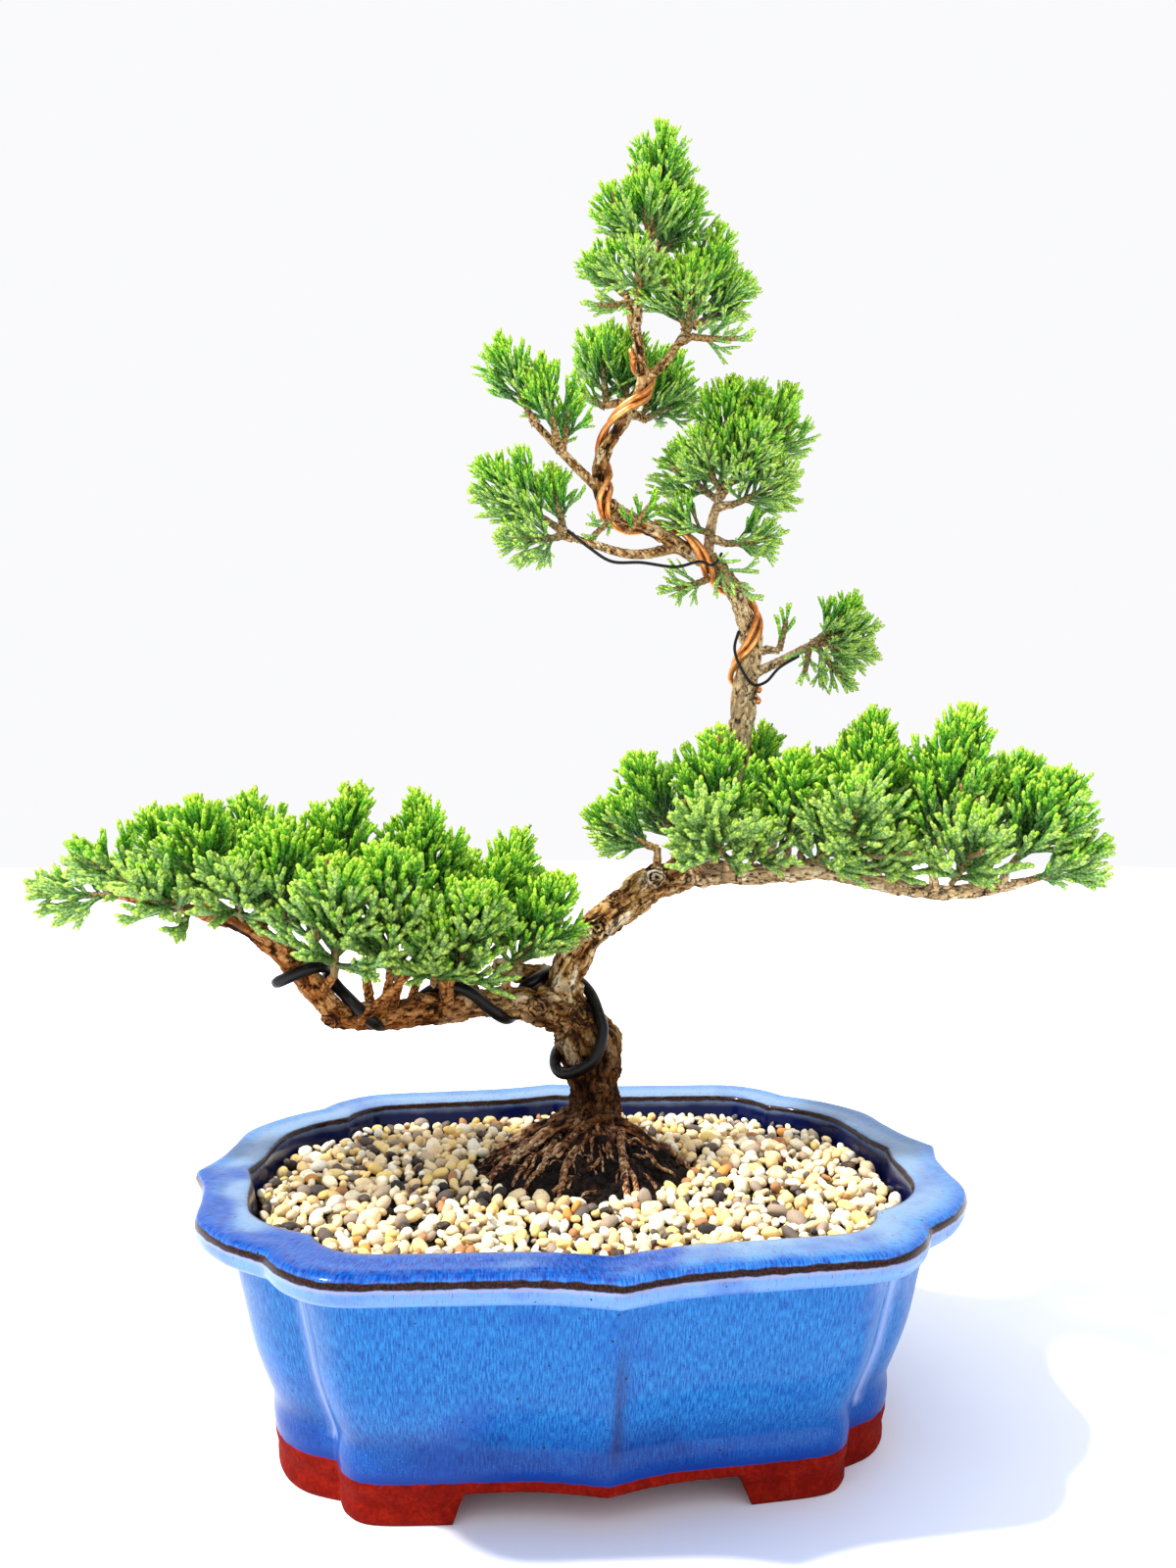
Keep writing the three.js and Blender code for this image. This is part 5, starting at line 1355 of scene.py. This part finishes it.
def bark_tube(path, radii, sides, roughness):
    """A thin woody tube with scaly, uneven bark. Returns points, faces, bark places and looks."""
    across, other = path_frames(path)
    along = distances_along(path)
    angles = np.linspace(0, 2 * math.pi, sides, endpoint=False)
    rings = []
    places = []
    looks = []
    for i, (point, radius) in enumerate(zip(path, radii)):
        spokes = np.cos(angles)[:, None] * across[i] + np.sin(angles)[:, None] * other[i]
        lift = np.array([noise.fractal(Vector((point + s * radius) / 1.3), 0.8, 2.0, 3) for s in spokes])
        lift += 0.5 * ((np.arange(sides) + i) % 2) - 0.25
        rings.append(point + spokes * (radius * (1 + roughness * lift))[:, None])
        height = np.full(sides, along[i])
        places.append(np.column_stack([np.cos(angles) * radius, np.sin(angles) * radius, height]))
        plate = np.full(sides, 0.5 + 0.5 * math.sin(12.9 * (i // 3) + 78.2 * radii[0]))
        relief, crack = np.clip(0.5 + 0.5 * lift, 0, 1), np.clip(-0.7 - lift, 0, 1) * 2
        looks.append(np.column_stack([relief, crack, plate]))
    points, faces = loft(rings)
    places = np.concatenate([*places, places[0][:1], places[-1][:1]])
    looks = np.concatenate([*looks, looks[0][:1], looks[-1][:1]])
    return points, faces, places, looks


def bark_piece(name, pieces, rings, material, *nodes):
    """One mesh of several barked pieces. rings marks the knots on the first of them."""
    points, faces = joined([(p, f) for p, f, _, _ in pieces])
    numbers = {
        "bark_place": np.concatenate([places for _, _, places, _ in pieces]),
        "bark_look": np.clip(np.concatenate([looks for _, _, _, looks in pieces]), 0, 1),
        "knot": np.concatenate([rings, np.zeros(len(points) - len(rings))]),
    }
    add_piece(make_mesh(name, points, faces, None, numbers), material, "bark", *nodes)


def remeshed(points, faces, voxel):
    """One closed skin round everything, as even small quads."""
    helper = loose(make_mesh("wood_rough", points, faces))
    skin = helper.modifiers.new("skin", "REMESH")
    skin.mode = "VOXEL"
    skin.voxel_size = voxel * MM
    graph = bpy.context.evaluated_depsgraph_get()
    mesh = bpy.data.meshes.new_from_object(helper.evaluated_get(graph), depsgraph=graph)
    bpy.data.objects.remove(helper)
    count = len(mesh.vertices)
    co = np.zeros(count * 3, np.float32)
    mesh.vertices.foreach_get("co", co)
    corners = np.zeros(len(mesh.loops), np.int32)
    mesh.loops.foreach_get("vertex_index", corners)
    sizes = np.zeros(len(mesh.polygons), np.int32)
    mesh.polygons.foreach_get("loop_total", sizes)
    bpy.data.meshes.remove(mesh)
    ends = np.cumsum(sizes)
    split = []
    for size in np.unique(sizes):
        starts = (ends - sizes)[sizes == size]
        split.append(corners[starts[:, None] + np.arange(size)])
    return (co.reshape(-1, 3) - POT_MIDDLE) / MM, split


def eased(points, faces, rounds):
    """Points moved toward the middle of their neighbours, to round off where limbs meet."""
    pairs = np.concatenate([np.stack([f[:, k], f[:, (k + 1) % f.shape[1]]], axis=1)
                            for f in faces for k in range(f.shape[1])])
    pairs = np.concatenate([pairs, pairs[:, ::-1]])
    number = np.bincount(pairs[:, 0], minlength=len(points))[:, None]
    for _ in range(rounds):
        sums = [np.bincount(pairs[:, 0], points[pairs[:, 1], k], len(points)) for k in range(3)]
        total = np.stack(sums, axis=1)
        points = mixed(points, total / np.maximum(number, 1), 0.5)
    return points


def point_normals(points, faces):
    """The outward direction at each point of a skin."""
    normals = np.zeros_like(points)
    for f in faces:
        a, b, c = points[f[:, 0]], points[f[:, 1]], points[f[:, -1]]
        face = np.cross(b - a, c - a)
        for k in range(f.shape[1]):
            for axis in range(3):
                normals[:, axis] += np.bincount(f[:, k], face[:, axis], len(points))
    return unit(normals)


def wood_skin(samples, knots):
    """One smooth skin round the thick limbs and the swellings of their knots."""
    parts = [rough_limb(path, radii, 20, i * 3.7) for i, (_, path, radii, *_) in enumerate(samples)]
    ball, ball_faces = round_stone(2)
    for centre, direction, size in knots:
        parts.append((centre - direction * size * 0.52 + ball * size * 0.72, [ball_faces]))
    points, faces = remeshed(*joined(parts), WOOD_VOXEL)
    return eased(points, faces, 2), faces


def knot_ring(point, distance):
    """How far a knot's raised ring and sunk middle stand out, as a part of its size."""
    rough = 0.14 * noise.noise(Vector(point) / 1.4) + 0.3 * noise.noise(Vector(point) / 3.2)
    ring = math.exp(-((distance - 0.72 - rough) / 0.2) ** 2) * 0.28
    return ring - math.exp(-(distance / 0.3) ** 2) * 0.42


def bark_on_skin(points, samples, knots):
    """How far the bark stands out at each point, its places and looks, and the knots' rings."""
    middles, radii, along, across, other = (
        np.concatenate([row[k] for row in samples]) for k in range(1, 6))
    grains = np.concatenate([np.full(len(row[1]), BARK_GRAIN.get(row[0], THIN_GRAIN)) for row in samples])
    tree = KDTree(len(middles))
    for i, middle in enumerate(middles):
        tree.insert(middle, i)
    tree.balance()
    places, looks = np.zeros_like(points), np.zeros_like(points)
    lift, rings = np.zeros(len(points)), np.zeros(len(points))
    for i, point in enumerate(points):
        best = min(tree.find_n(point, 5), key=lambda hit: hit[2] / radii[hit[1]])[1]
        away = point - middles[best]
        places[i] = (away @ across[best], away @ other[best], along[best])
        depth = 0.24 + 0.105 * radii[best]
        lift[i], crack, plate = bark_relief(places[i], grains[best], depth)
        looks[i] = (0.48 + 0.36 * lift[i] / depth, crack, plate)
        for centre, _, size in knots:
            distance = float(np.linalg.norm(point - centre)) / size
            if distance < KNOT_EDGE:
                lift[i] = lift[i] * min(1.0, 0.35 + distance * 0.5) + knot_ring(point, distance) * size
                rings[i] = max(rings[i], KNOT_EDGE - distance)
                looks[i, 1] *= distance / KNOT_EDGE
    return lift, places, looks, rings


def thin_wood():
    """The thin limbs, the twigs that carry the sprays, and the scaly stems."""
    pieces = [barked_stem(LIMBS[name], 60, 0.9, 8, 0.12) for name in TWIGS]
    for _, limb, t, root, tip, _ in SPRAYS:
        start = limb_point(limb, t)
        bend = mixed(start, np.array(root, float), 0.5) + unit(np.array(tip, float) - root) * 0.6
        path = evenly(curve_points([start, bend, root], 24), 0.9)
        pieces.append(bark_tube(path, np.linspace(1.75, 1.15, len(path)), 7, 0.18))
    pieces.extend(barked_stem(rows, 24, 0.8, 8, 0.26) for rows in SCALY_STEMS)
    return pieces


def make_wood(material, wire_paths):
    samples, knots = limb_samples(), knot_places()
    points, faces = wood_skin(samples, knots)
    normals = point_normals(points, faces)
    lift, places, looks, rings = bark_on_skin(points, samples, knots)
    points = clear_of_wires(points + normals * lift[:, None], normals, wire_paths)
    pieces = [(points, faces, places, looks), *thin_wood()]
    bark_piece("wood_barked_trunk", pieces, rings, material, "wood")


def clear_of_wires(points, normals, wire_paths):
    """Bark pressed back where a wire lies on it."""
    for path, radius in wire_paths:
        tree = KDTree(len(path))
        for i, point in enumerate(path):
            tree.insert(point, i)
        tree.balance()
        for i, point in enumerate(points):
            near, _, distance = tree.find(point)
            if distance < radius + 0.15:
                away = unit(point - np.array(near))
                push = -normals[i] if normals[i] @ away > 0 else away
                points[i] = point + push * (radius + 0.15 - distance) * (1.4 if push is not away else 1.0)
    return points


def eased_row(rows):
    """A row of places with its heights eased along, so that it doesn't follow every crumb."""
    rows = np.array(rows, float)
    for _ in range(3):
        rows[1:-1, 2] = 0.25 * rows[:-2, 2] + 0.5 * rows[1:-1, 2] + 0.25 * rows[2:, 2]
    return rows


def shown_root(track):
    """A root that keeps to its places on the mound and dives into the soil at its end."""
    flat = curve_points(track, len(track) * 5)
    rows = [(x, y, soil_surface(x, y) + 0.9 * radius + 0.4, radius) for x, y, radius in flat]
    rows = eased_row(rows[:-1] + [(*rows[-1][:2], rows[-1][2] - 1.5, rows[-1][3])])
    return barked_stem(rows, len(rows) * 2, 0.8, 8, 0.2)


def chance_root(number, chance):
    """A root that wanders out from the trunk's foot: thick ones behind, fine ones all round."""
    thick = number < THICK_ROOTS
    turn = (number + chance.uniform(0.1, 0.9)) / THICK_ROOTS if thick else chance.random()
    angle = (mixed(-0.1, 1.1, turn) if thick else mixed(-1.0, 1.0, turn)) * math.pi
    outward = np.array([math.cos(angle), math.sin(angle)])
    x, y = TRUNK_FOOT + (chance.uniform(6.0, 8.0) if thick else chance.uniform(7.0, 14)) * outward
    heading = angle + chance.uniform(-0.35, 0.35)
    radius = chance.uniform(0.9, 1.5) if thick else chance.uniform(0.3, 0.62)
    steps = chance.randint(15, 22) if thick else chance.randint(8, 22)
    rows = [(*(TRUNK_FOOT + 4 * outward), 74.5 if thick else 73.0)]
    waver = 0.2 if thick else 0.36
    for step in range(steps):
        rows.append((x, y, soil_surface(x, y) + radius * (1.1 if step % 5 else 1.7)))
        heading += chance.uniform(-waver, waver)
        x += ROOT_STEP * math.cos(heading)
        y += ROOT_STEP * math.sin(heading)
    path = evenly(curve_points(rows, len(rows) * 3), 0.9)
    return bark_tube(path, radius * np.linspace(1.15, 0.45, len(path)), 7 if thick else 5, 0.22)


def make_fine_roots(material, chance):
    pieces = [barked_stem(FOOT_ROOT, 30, 0.7, 9, 0.16)]
    pieces.extend(shown_root(track) for track in SHOWN_ROOTS)
    pieces.extend(chance_root(number, chance) for number in range(THICK_ROOTS + FINE_ROOTS))
    bark_piece("roots_fine_surface", pieces, [], material)


# Wires

def winding(stops, wire_radius, shift=0.0):
    """Points on a wire wound round limbs through its stops."""
    points = []
    for (limb, t0, angle0), (_, t1, angle1) in zip(stops[:-1], stops[1:]):
        count = max(1, round(abs(angle1 - angle0) / 20))
        for i in range(count):
            share = i / count
            t = mixed(t0, t1, share)
            speed = np.linalg.norm(limb_point(limb, t + 0.01) - limb_point(limb, t - 0.01)) / 0.02
            t += shift / speed
            points.append(wound_point(limb, t, mixed(angle0, angle1, share), wire_radius))
    limb, t, angle = stops[-1]
    points.append(wound_point(limb, t, angle, wire_radius))
    return points


def wound_point(limb, t, degrees, wire_radius):
    """A place on a wire that lies on a limb, turned from its front by an angle."""
    tangent = limb_direction(limb, t)
    front = np.array([0.0, -1.0, 0.0])
    front = unit(front - tangent * (front @ tangent))
    side = np.cross(tangent, front)
    angle = math.radians(degrees)
    reach = limb_radius(limb, min(max(t, 0), 1)) + wire_radius + SEAT_GAP
    return limb_point(limb, t) + (front * math.cos(angle) + side * math.sin(angle)) * reach


def wire_tube(path, radius, sides):
    """A wire with cut ends that are a little rounded."""
    radii = np.full(len(path), radius)
    radii[0] = radii[-1] = radius * 0.8
    return tube(path, radii, sides)


def make_wires(black, copper):
    """All wires. Returns their paths and radii, for the bark to keep clear of."""
    routes = [
        ("wire_heavy_black", "wire_black_heavy", HEAVY_ROUTE, HEAVY_WIRE, 16, black, "black_wire"),
        ("wire_copper_lower", "wire_copper_a", winding(COPPER_STOPS, COPPER_WIRE), COPPER_WIRE, 10,
         copper, "copper_wire"),
        ("wire_copper_upper", "wire_copper_b", winding(COPPER_STOPS, COPPER_WIRE, COPPER_PITCH),
         COPPER_WIRE, 10, copper, "copper_wire"),
        ("wire_thin_small_branch", "wire_thin_right", THIN_RIGHT, THIN_WIRE, 8, black, "black_wire"),
        ("wire_thin_low_branch", "wire_thin_left", THIN_LEFT, THIN_WIRE, 8, black, "black_wire"),
    ]
    paths = []
    for name, node, points, radius, sides, material, slot in routes:
        path = evenly(curve_points(points, len(points) * 8), radius * 0.7 + 0.3)
        mesh = make_mesh(name, *wire_tube(path, radius, sides))
        add_piece(mesh, material, slot, node)
        paths.append((path, radius))
    return paths


# Foliage

class Shoots:
    """Gathers shoots of one spray and turns them all into one mesh."""

    def __init__(self):
        self.parts = []

    def grow(self, base, start, end, length, thick, thin, rows, segments):
        """Curved shoots that leave base along start and bend to end. All but segments are arrays.

        Returns points down their middles and the directions there."""
        base, start, end = (np.asarray(a, float) for a in (base, start, end))
        length = np.asarray(length, float)
        steps = np.linspace(0, 1, segments + 1)
        steps[-1] = 1 - 0.28 / (segments + 1)
        ts = steps[None, :, None]
        bend = start[:, None] * ts + (end - start)[:, None] * ts ** 2 / 2
        middle = base[:, None] + bend * length[:, None, None]
        tangent = unit(start[:, None] + (end - start)[:, None] * ts)
        helper = np.where(np.abs(tangent[..., 2:]) > 0.9, [[[1.0, 0, 0]]], [[[0, 0, 1.0]]])
        side = unit(np.cross(tangent, helper))
        other = np.cross(tangent, side)
        taper = mixed(np.asarray(thick)[:, None], np.asarray(thin)[:, None], steps[None, :])
        taper[:, -1] *= 0.7
        angles = np.arange(SHOOT_SIDES) * 2 * math.pi / SHOOT_SIDES
        bulge = 1 + 0.08 * ((np.arange(segments + 1)[:, None] + np.arange(SHOOT_SIDES)[None, :]) % 2 * 2 - 1)
        spokes = (side[:, :, None] * np.cos(angles)[None, None, :, None]
                  + other[:, :, None] * np.sin(angles)[None, None, :, None])
        rings = middle[:, :, None] + spokes * (taper[:, :, None] * bulge[None])[..., None]
        tips = base + (start + (end - start) / 2) * length[:, None]
        self.parts.append((rings, tips, length, np.asarray(rows), steps))
        return middle, tangent

    def mesh(self, name):
        """One mesh of all shoots, mapped by distance from the tip, palette row and turn."""
        points = []
        faces_quad = []
        faces_tip = []
        map_quad = []
        map_tip = []
        shift = 0
        k = np.arange(SHOOT_SIDES)
        following = (k + 1) % SHOOT_SIDES
        for rings, tips, length, rows, steps in self.parts:
            count, ring_count = rings.shape[:2]
            per = ring_count * SHOOT_SIDES + 1
            points.append(np.concatenate([rings.reshape(count, -1, 3), tips[:, None]], axis=1).reshape(-1, 3))
            start = shift + np.arange(count) * per
            r = np.arange(ring_count - 1)[:, None] * SHOOT_SIDES
            quad = np.stack([r + k, r + following, r + SHOOT_SIDES + following, r + SHOOT_SIDES + k], axis=-1)
            faces_quad.append((start[:, None, None, None] + quad[None]).reshape(-1, 4))
            last = (ring_count - 1) * SHOOT_SIDES
            tip = np.stack([last + k, last + following, np.full(SHOOT_SIDES, per - 1)], axis=-1)
            faces_tip.append((start[:, None, None] + tip[None]).reshape(-1, 3))
            along = np.clip(1 - length[:, None] * (1 - steps[None, :]) / SHOOT_REACH, 0.01, 0.995)
            low, high = along[:, :-1, None], along[:, 1:, None]
            band = (rows[:, None, None] + 0.06 + 0.88 * k[None, None, :] / SHOOT_SIDES) / PALETTE_ROWS
            step = 0.88 / SHOOT_SIDES / PALETTE_ROWS
            full = np.zeros((count, ring_count - 1, SHOOT_SIDES))
            corner = [(low + full, band + full), (low + full, band + step + full),
                      (high + full, band + step + full), (high + full, band + full)]
            map_quad.append(np.stack([np.stack(c, axis=-1) for c in corner], axis=-2).reshape(-1, 2))
            end = along[:, -1, None] + np.zeros((count, SHOOT_SIDES))
            flat = band[:, 0] + np.zeros((count, SHOOT_SIDES))
            corner = [(end, flat), (end, flat + step), (np.full_like(end, 0.9975), flat + step / 2)]
            map_tip.append(np.stack([np.stack(c, axis=-1) for c in corner], axis=-2).reshape(-1, 2))
            shift += count * per
        faces = [np.concatenate(faces_quad), np.concatenate(faces_tip)]
        maps = {"OFBake": np.concatenate([*map_quad, *map_tip])}
        return make_mesh(name, np.concatenate(points), faces, maps)


def spread_around(direction, lean, turn):
    """Directions that lean off others by an angle, turned round them by another."""
    direction = unit(direction)
    helper = np.where(np.abs(direction[:, 2:]) > 0.9, [[1.0, 0, 0]], [[0, 0, 1.0]])
    side = unit(np.cross(direction, helper))
    other = np.cross(direction, side)
    return (direction * np.cos(lean)[:, None]
            + (side * np.cos(turn)[:, None] + other * np.sin(turn)[:, None]) * np.sin(lean)[:, None])


def plume_profile(share):
    """How wide a plume is along its length, from root (0) to tip (1), as a part of its width."""
    return 0.5 * np.sin(math.pi * np.clip(share, 0, 1) ** 0.82) ** 0.8


def shoot_radius(root, tip):
    """How thick a spray's shoots are: most in front of the pads, least high in the tree."""
    in_front = min(1.0, max(0.0, (8.0 - tip[1]) / 30.0))
    high = min(1.0, max(0.0, (root[2] - 180.0) / 40.0))
    return mixed(mixed(PAD_SHOOT, FRONT_SHOOT, in_front), HIGH_SHOOT, high)


def room_in_plume(base, direction, root, axis, width, longest):
    """How far shoots can run from base along direction before they leave their plume."""
    reach = np.linalg.norm(axis)
    heading = axis / reach
    tries = np.linspace(1.5, longest, 30)
    places = base[:, None] + direction[:, None] * tries[None, :, None] - root
    along = places @ heading
    away = np.linalg.norm(places - along[..., None] * heading, axis=2)
    outside = away > width * plume_profile(along / reach) + 0.6
    outside |= along > reach
    first = np.where(outside.any(axis=1), outside.argmax(axis=1), len(tries) - 1)
    return tries[first]


def side_shoots(middle, tangent, length, spacing, first, free, rng):
    """Where side shoots leave each of some shoots: places, headings, shares along and parents.

    The first one stands that far from the shoot's base, and its tip stays free of them."""
    steps = np.linspace(0, 1, middle.shape[1])
    found = []
    for i in range(len(middle)):
        count = int((length[i] - first - free) / spacing) + 1
        if length[i] < first + free:
            continue
        share = (first + spacing * (np.arange(count) + rng.uniform(-0.2, 0.2, count))) / length[i]
        place = np.stack([np.interp(share, steps, middle[i, :, k]) for k in range(3)], axis=1)
        heading = np.stack([np.interp(share, steps, tangent[i, :, k]) for k in range(3)], axis=1)
        found.append((place, heading, share, np.full(count, i)))
    if not found:
        return None
    return [np.concatenate(column) for column in zip(*found)]


class Plume:
    """One spray: a stem, branchlets round it, and scaly shoots with shoots of their own."""

    def __init__(self, name, root, tip, width, seed):
        self.rng = np.random.default_rng(seed)
        self.fullness = SPARSE_FULLNESS if name in SPARSE_SPRIGS else 1.0
        self.root, self.tip, self.width = np.array(root, float), np.array(tip, float), width
        self.axis = self.tip - self.root
        self.reach = float(np.linalg.norm(self.axis))
        self.thick = shoot_radius(root, tip)
        self.slim = FRONT_SHOOT / self.thick
        self.corded = min(1.0, max(0.0, (2.0 - tip[1]) / 24.0))
        self.shoots = Shoots()

    def grow(self, base, direction, bent, length, widen, segments):
        """Shoots with the palette rows that suit how deep in the plume or how open they stand: painted shade
        deep inside, partly painted light on top.
        """
        rng, count = self.rng, len(base)
        ends = base + unit(direction + bent) * length[:, None]
        high = (ends[:, 2] - self.root[2]) / (self.reach + 0.3 * self.width)
        share = np.clip((ends - self.root) @ self.axis / self.reach ** 2, 0.02, 1)
        away = np.linalg.norm(np.cross(ends - self.root, self.axis), axis=1) / self.reach
        away /= self.width * plume_profile(share) + 1
        # Painted light and shade: shoots high up and pointing up take the brightest kind, and those deep
        # inside take the dark kind
        top_lit = 0.1 + 0.72 * high + 0.16 * direction[:, 2] + rng.normal(0, 0.09, count)
        inside = away + 0.6 * share ** 3 + rng.normal(0, 0.12, count)
        kinds = np.where(top_lit > 0.66, 3, np.where(top_lit > 0.42 + 0.14 * self.corded, 2, 1))
        kinds = np.where((inside < 0.5) & (top_lit < 0.8), 0, kinds)
        rows = WOODY_ROWS + kinds * ROWS_PER_KIND + rng.integers(0, ROWS_PER_KIND, count)
        dry = rng.random(count) < 0.004
        rows = np.where(dry, rng.integers(0, WOODY_ROWS, count), rows)
        radii = np.full(count, self.thick)
        return self.shoots.grow(base, direction, bent, length, radii * widen, radii, rows, segments)

    def branchlets(self, stem):
        """Long shoots that leave the stem in a spiral and fill the plume's width."""
        rng, reach, width = self.rng, self.reach, self.width
        ts = np.linspace(0, 1, len(stem))
        tangents = unit(np.gradient(stem, axis=0))
        number = max(5, round((reach * 0.38 + width * 0.2) * self.fullness * self.slim ** 0.4))
        places = np.clip(np.linspace(0.12, 1.0, number) + rng.uniform(-0.02, 0.02, number), 0.01, 1)
        base = np.stack([np.interp(places, ts, stem[:, k]) for k in range(3)], axis=1)
        heading = unit(np.stack([np.interp(places, ts, tangents[:, k]) for k in range(3)], axis=1))
        lean = np.radians(mixed(56, 12, places ** 1.2) + rng.uniform(-8, 8, number))
        turn = np.arange(number) * GOLDEN_ANGLE + rng.uniform(-0.3, 0.3, number)
        direction = unit(spread_around(heading, lean, turn) + [0, 0, 0.12])
        bent = unit(direction * 0.8 + heading * 0.25 + [0, 0, 0.16])
        length = room_in_plume(base, unit(direction + bent), self.root, self.axis, width, width)
        length = np.maximum(length * rng.uniform(0.74, 1.12, number), 6.0)
        return (*self.grow(base, direction, bent, length, 1.12, 8), length)

    def feathers(self, middle, tangent, length):
        """Shoots on both sides of the branchlets, shorter toward their tips."""
        rng, corded = self.rng, self.corded
        spacing = SHOOT_SPACING * (1 + 0.45 * corded) / self.fullness / self.slim ** 0.6
        base, heading, share, parent = side_shoots(middle, tangent, length, spacing, 2.4, 3.2, rng)
        count = len(base)
        number = np.arange(count)
        lean = np.radians(rng.uniform(20, 34, count) - 8.0 * corded)
        turn = number * math.pi + parent * 1.3 + (number // 2 % 2) * 1.3 + rng.uniform(-0.4, 0.4, count)
        direction = unit(spread_around(heading, lean, turn) + [0, 0, 0.08])
        bent = unit(direction * 0.8 + heading * 0.34 + [0, 0, 0.14])
        wanted = 4.6 + (0.5 + 0.35 * corded) * (1 - share) * length[parent]
        wanted *= rng.uniform(0.78, 1.15, count)
        room = room_in_plume(base, unit(direction + bent), self.root, self.axis, self.width * 1.06, 14.0)
        length = np.clip(np.minimum(wanted, room + 1.4), 4.0, 15.0)
        return (*self.grow(base, direction, bent, length, 1.04, 3), length)

    def forks(self, middle, tangent, length):
        """Short shoots on the longer ones."""
        rng = self.rng
        long_ones = length > 6.0 + 4.0 * self.corded
        found = side_shoots(middle[long_ones], tangent[long_ones], length[long_ones], 2.7, 2.3, 2.8, rng)
        if not found:
            return
        base, heading, _, parent = found
        count = len(base)
        lean = np.radians(rng.uniform(18, 32, count))
        turn = np.arange(count) * math.pi + parent * 1.7 + rng.uniform(-0.6, 0.6, count)
        direction = spread_around(heading, lean, turn)
        bent = unit(direction * 0.75 + heading * 0.4 + [0, 0, 0.1])
        self.grow(base, direction, bent, rng.uniform(3.2, 5.2, count), 1.0, 2)

    def mesh(self, name):
        """Grows the whole plume and returns its mesh."""
        root, reach = self.root, self.reach
        bend = root + self.axis * 0.45 - [0, 0, 0.06 * reach]
        end = root + self.axis * 0.84
        ts = np.linspace(0, 1, max(6, round(reach / 1.3)))[:, None]
        stem = (1 - ts) ** 2 * root + 2 * (ts * (1 - ts)) * bend + (ts ** 2) * end
        self.forks(*self.feathers(*self.branchlets(stem)))
        row = np.array([self.rng.integers(0, WOODY_ROWS)])
        self.shoots.grow(root[None], unit((bend - root)[None]), unit((end - bend)[None]), [reach * 0.86],
                         [1.2], [0.8], row, 14)
        return self.shoots.mesh(name)


def make_foliage(material):
    """The sprays that stand for CAD nodes, and the sprigs between them."""
    for i, (name, _, _, root, tip, width) in enumerate(SPRAYS):
        plume = Plume(name, root, tip, width, SPRAY_SEED + i)
        add_piece(plume.mesh(f"foliage_{name}"), material, "foliage", f"spray_{name}")
    for i, (name, root, tip, width) in enumerate(EXTRA_SPRIGS):
        plume = Plume(name, root, tip, width, SPRIG_SEED + i)
        add_piece(plume.mesh(f"foliage_extra_{name}"), material, "foliage")


# Camera, light and floor

def place_camera():
    data = bpy.data.cameras.new("viewer")
    data.sensor_width = SENSOR
    data.lens = FOCAL_PIXELS * SENSOR / PHOTO_HEIGHT
    data.clip_start = 0.01
    camera = bpy.data.objects.new("viewer", data)
    bpy.context.scene.collection.objects.link(camera)
    camera.location = to_row(CAMERA_PLACE)
    camera.rotation_euler = (math.radians(90 + CAMERA_PITCH), 0, math.radians(-CAMERA_YAW))
    bpy.context.scene.camera = camera


def add_light():
    world = bpy.data.worlds.new("studio_air")
    bpy.context.scene.world = world
    world.use_nodes = True
    nodes = Nodes(world.node_tree)
    world.node_tree.nodes.clear()
    air = nodes.add("ShaderNodeBackground", {"Color": paint(238, 242, 254), "Strength": 1.35})
    seen = nodes.add("ShaderNodeBackground", {"Color": paint(250, 250, 252), "Strength": 1.0})
    ray = nodes.add("ShaderNodeLightPath").outputs["Is Camera Ray"]
    blend = nodes.add("ShaderNodeMixShader", {0: ray, 1: air.outputs[0], 2: seen.outputs[0]})
    output = nodes.add("ShaderNodeOutputWorld")
    nodes.feed(blend.outputs[0], output.inputs[0])
    sun = bpy.data.lights.new("key", "SUN")
    sun.energy = 5.5
    sun.angle = math.radians(5)
    sun.color = (1.0, 0.97, 0.92)
    key = bpy.data.objects.new("key", sun)
    bpy.context.scene.collection.objects.link(key)
    toward = Vector((-0.62, -0.12, 1.0))
    key.rotation_euler = toward.to_track_quat("Z", "Y").to_euler()


def add_floor():
    turn = np.linspace(0, 2 * math.pi, 96, endpoint=False)
    rings = [np.column_stack([r * np.cos(turn), r * np.sin(turn), np.full(96, -0.05)])
             for r in (3000, 1200, 500, 150)]
    points, faces = loft(rings)
    floor = loose(make_mesh("floor", points, [faces[0], faces[2]]))
    material, nodes, shader = finish_named("white_paper_floor", roughness=0.7, mirror=0.2)
    nodes.feed(nodes.mix(nodes.noise(nodes.place(), 30.0), paint(244, 244, 246), paint(248, 248, 250)),
               shader.inputs["Base Color"])
    floor.data.materials.append(material)


def set_look():
    view = bpy.context.scene.view_settings
    view.view_transform = "Standard"
    view.look = "None"


def main():
    place_camera()
    add_light()
    add_floor()
    set_look()
    noise.seed_set(BARK_SEED)
    grain, dust, scales = grain_group(), dust_group(), scales_group()
    bark = bark_finish(grain)
    foliage = foliage_finish(scales)
    black = black_wire_finish(grain, dust)
    chance = random.Random(41)
    make_pot(glaze_finish(grain, dust))
    make_soil(soil_finish(grain), chance)
    make_gravel(pebble_finish(), chance)
    make_fine_roots(bark, chance)
    wire_paths = make_wires(black, copper_finish(grain, dust))
    make_wood(bark, wire_paths)
    make_foliage(foliage)
    screen = mesh_plastic_finish(grain)
    for side in ("left", "right"):
        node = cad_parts[f"drain_screen_{side}"]
        node.data.materials.clear()
        node.data.materials.append(screen)


main()
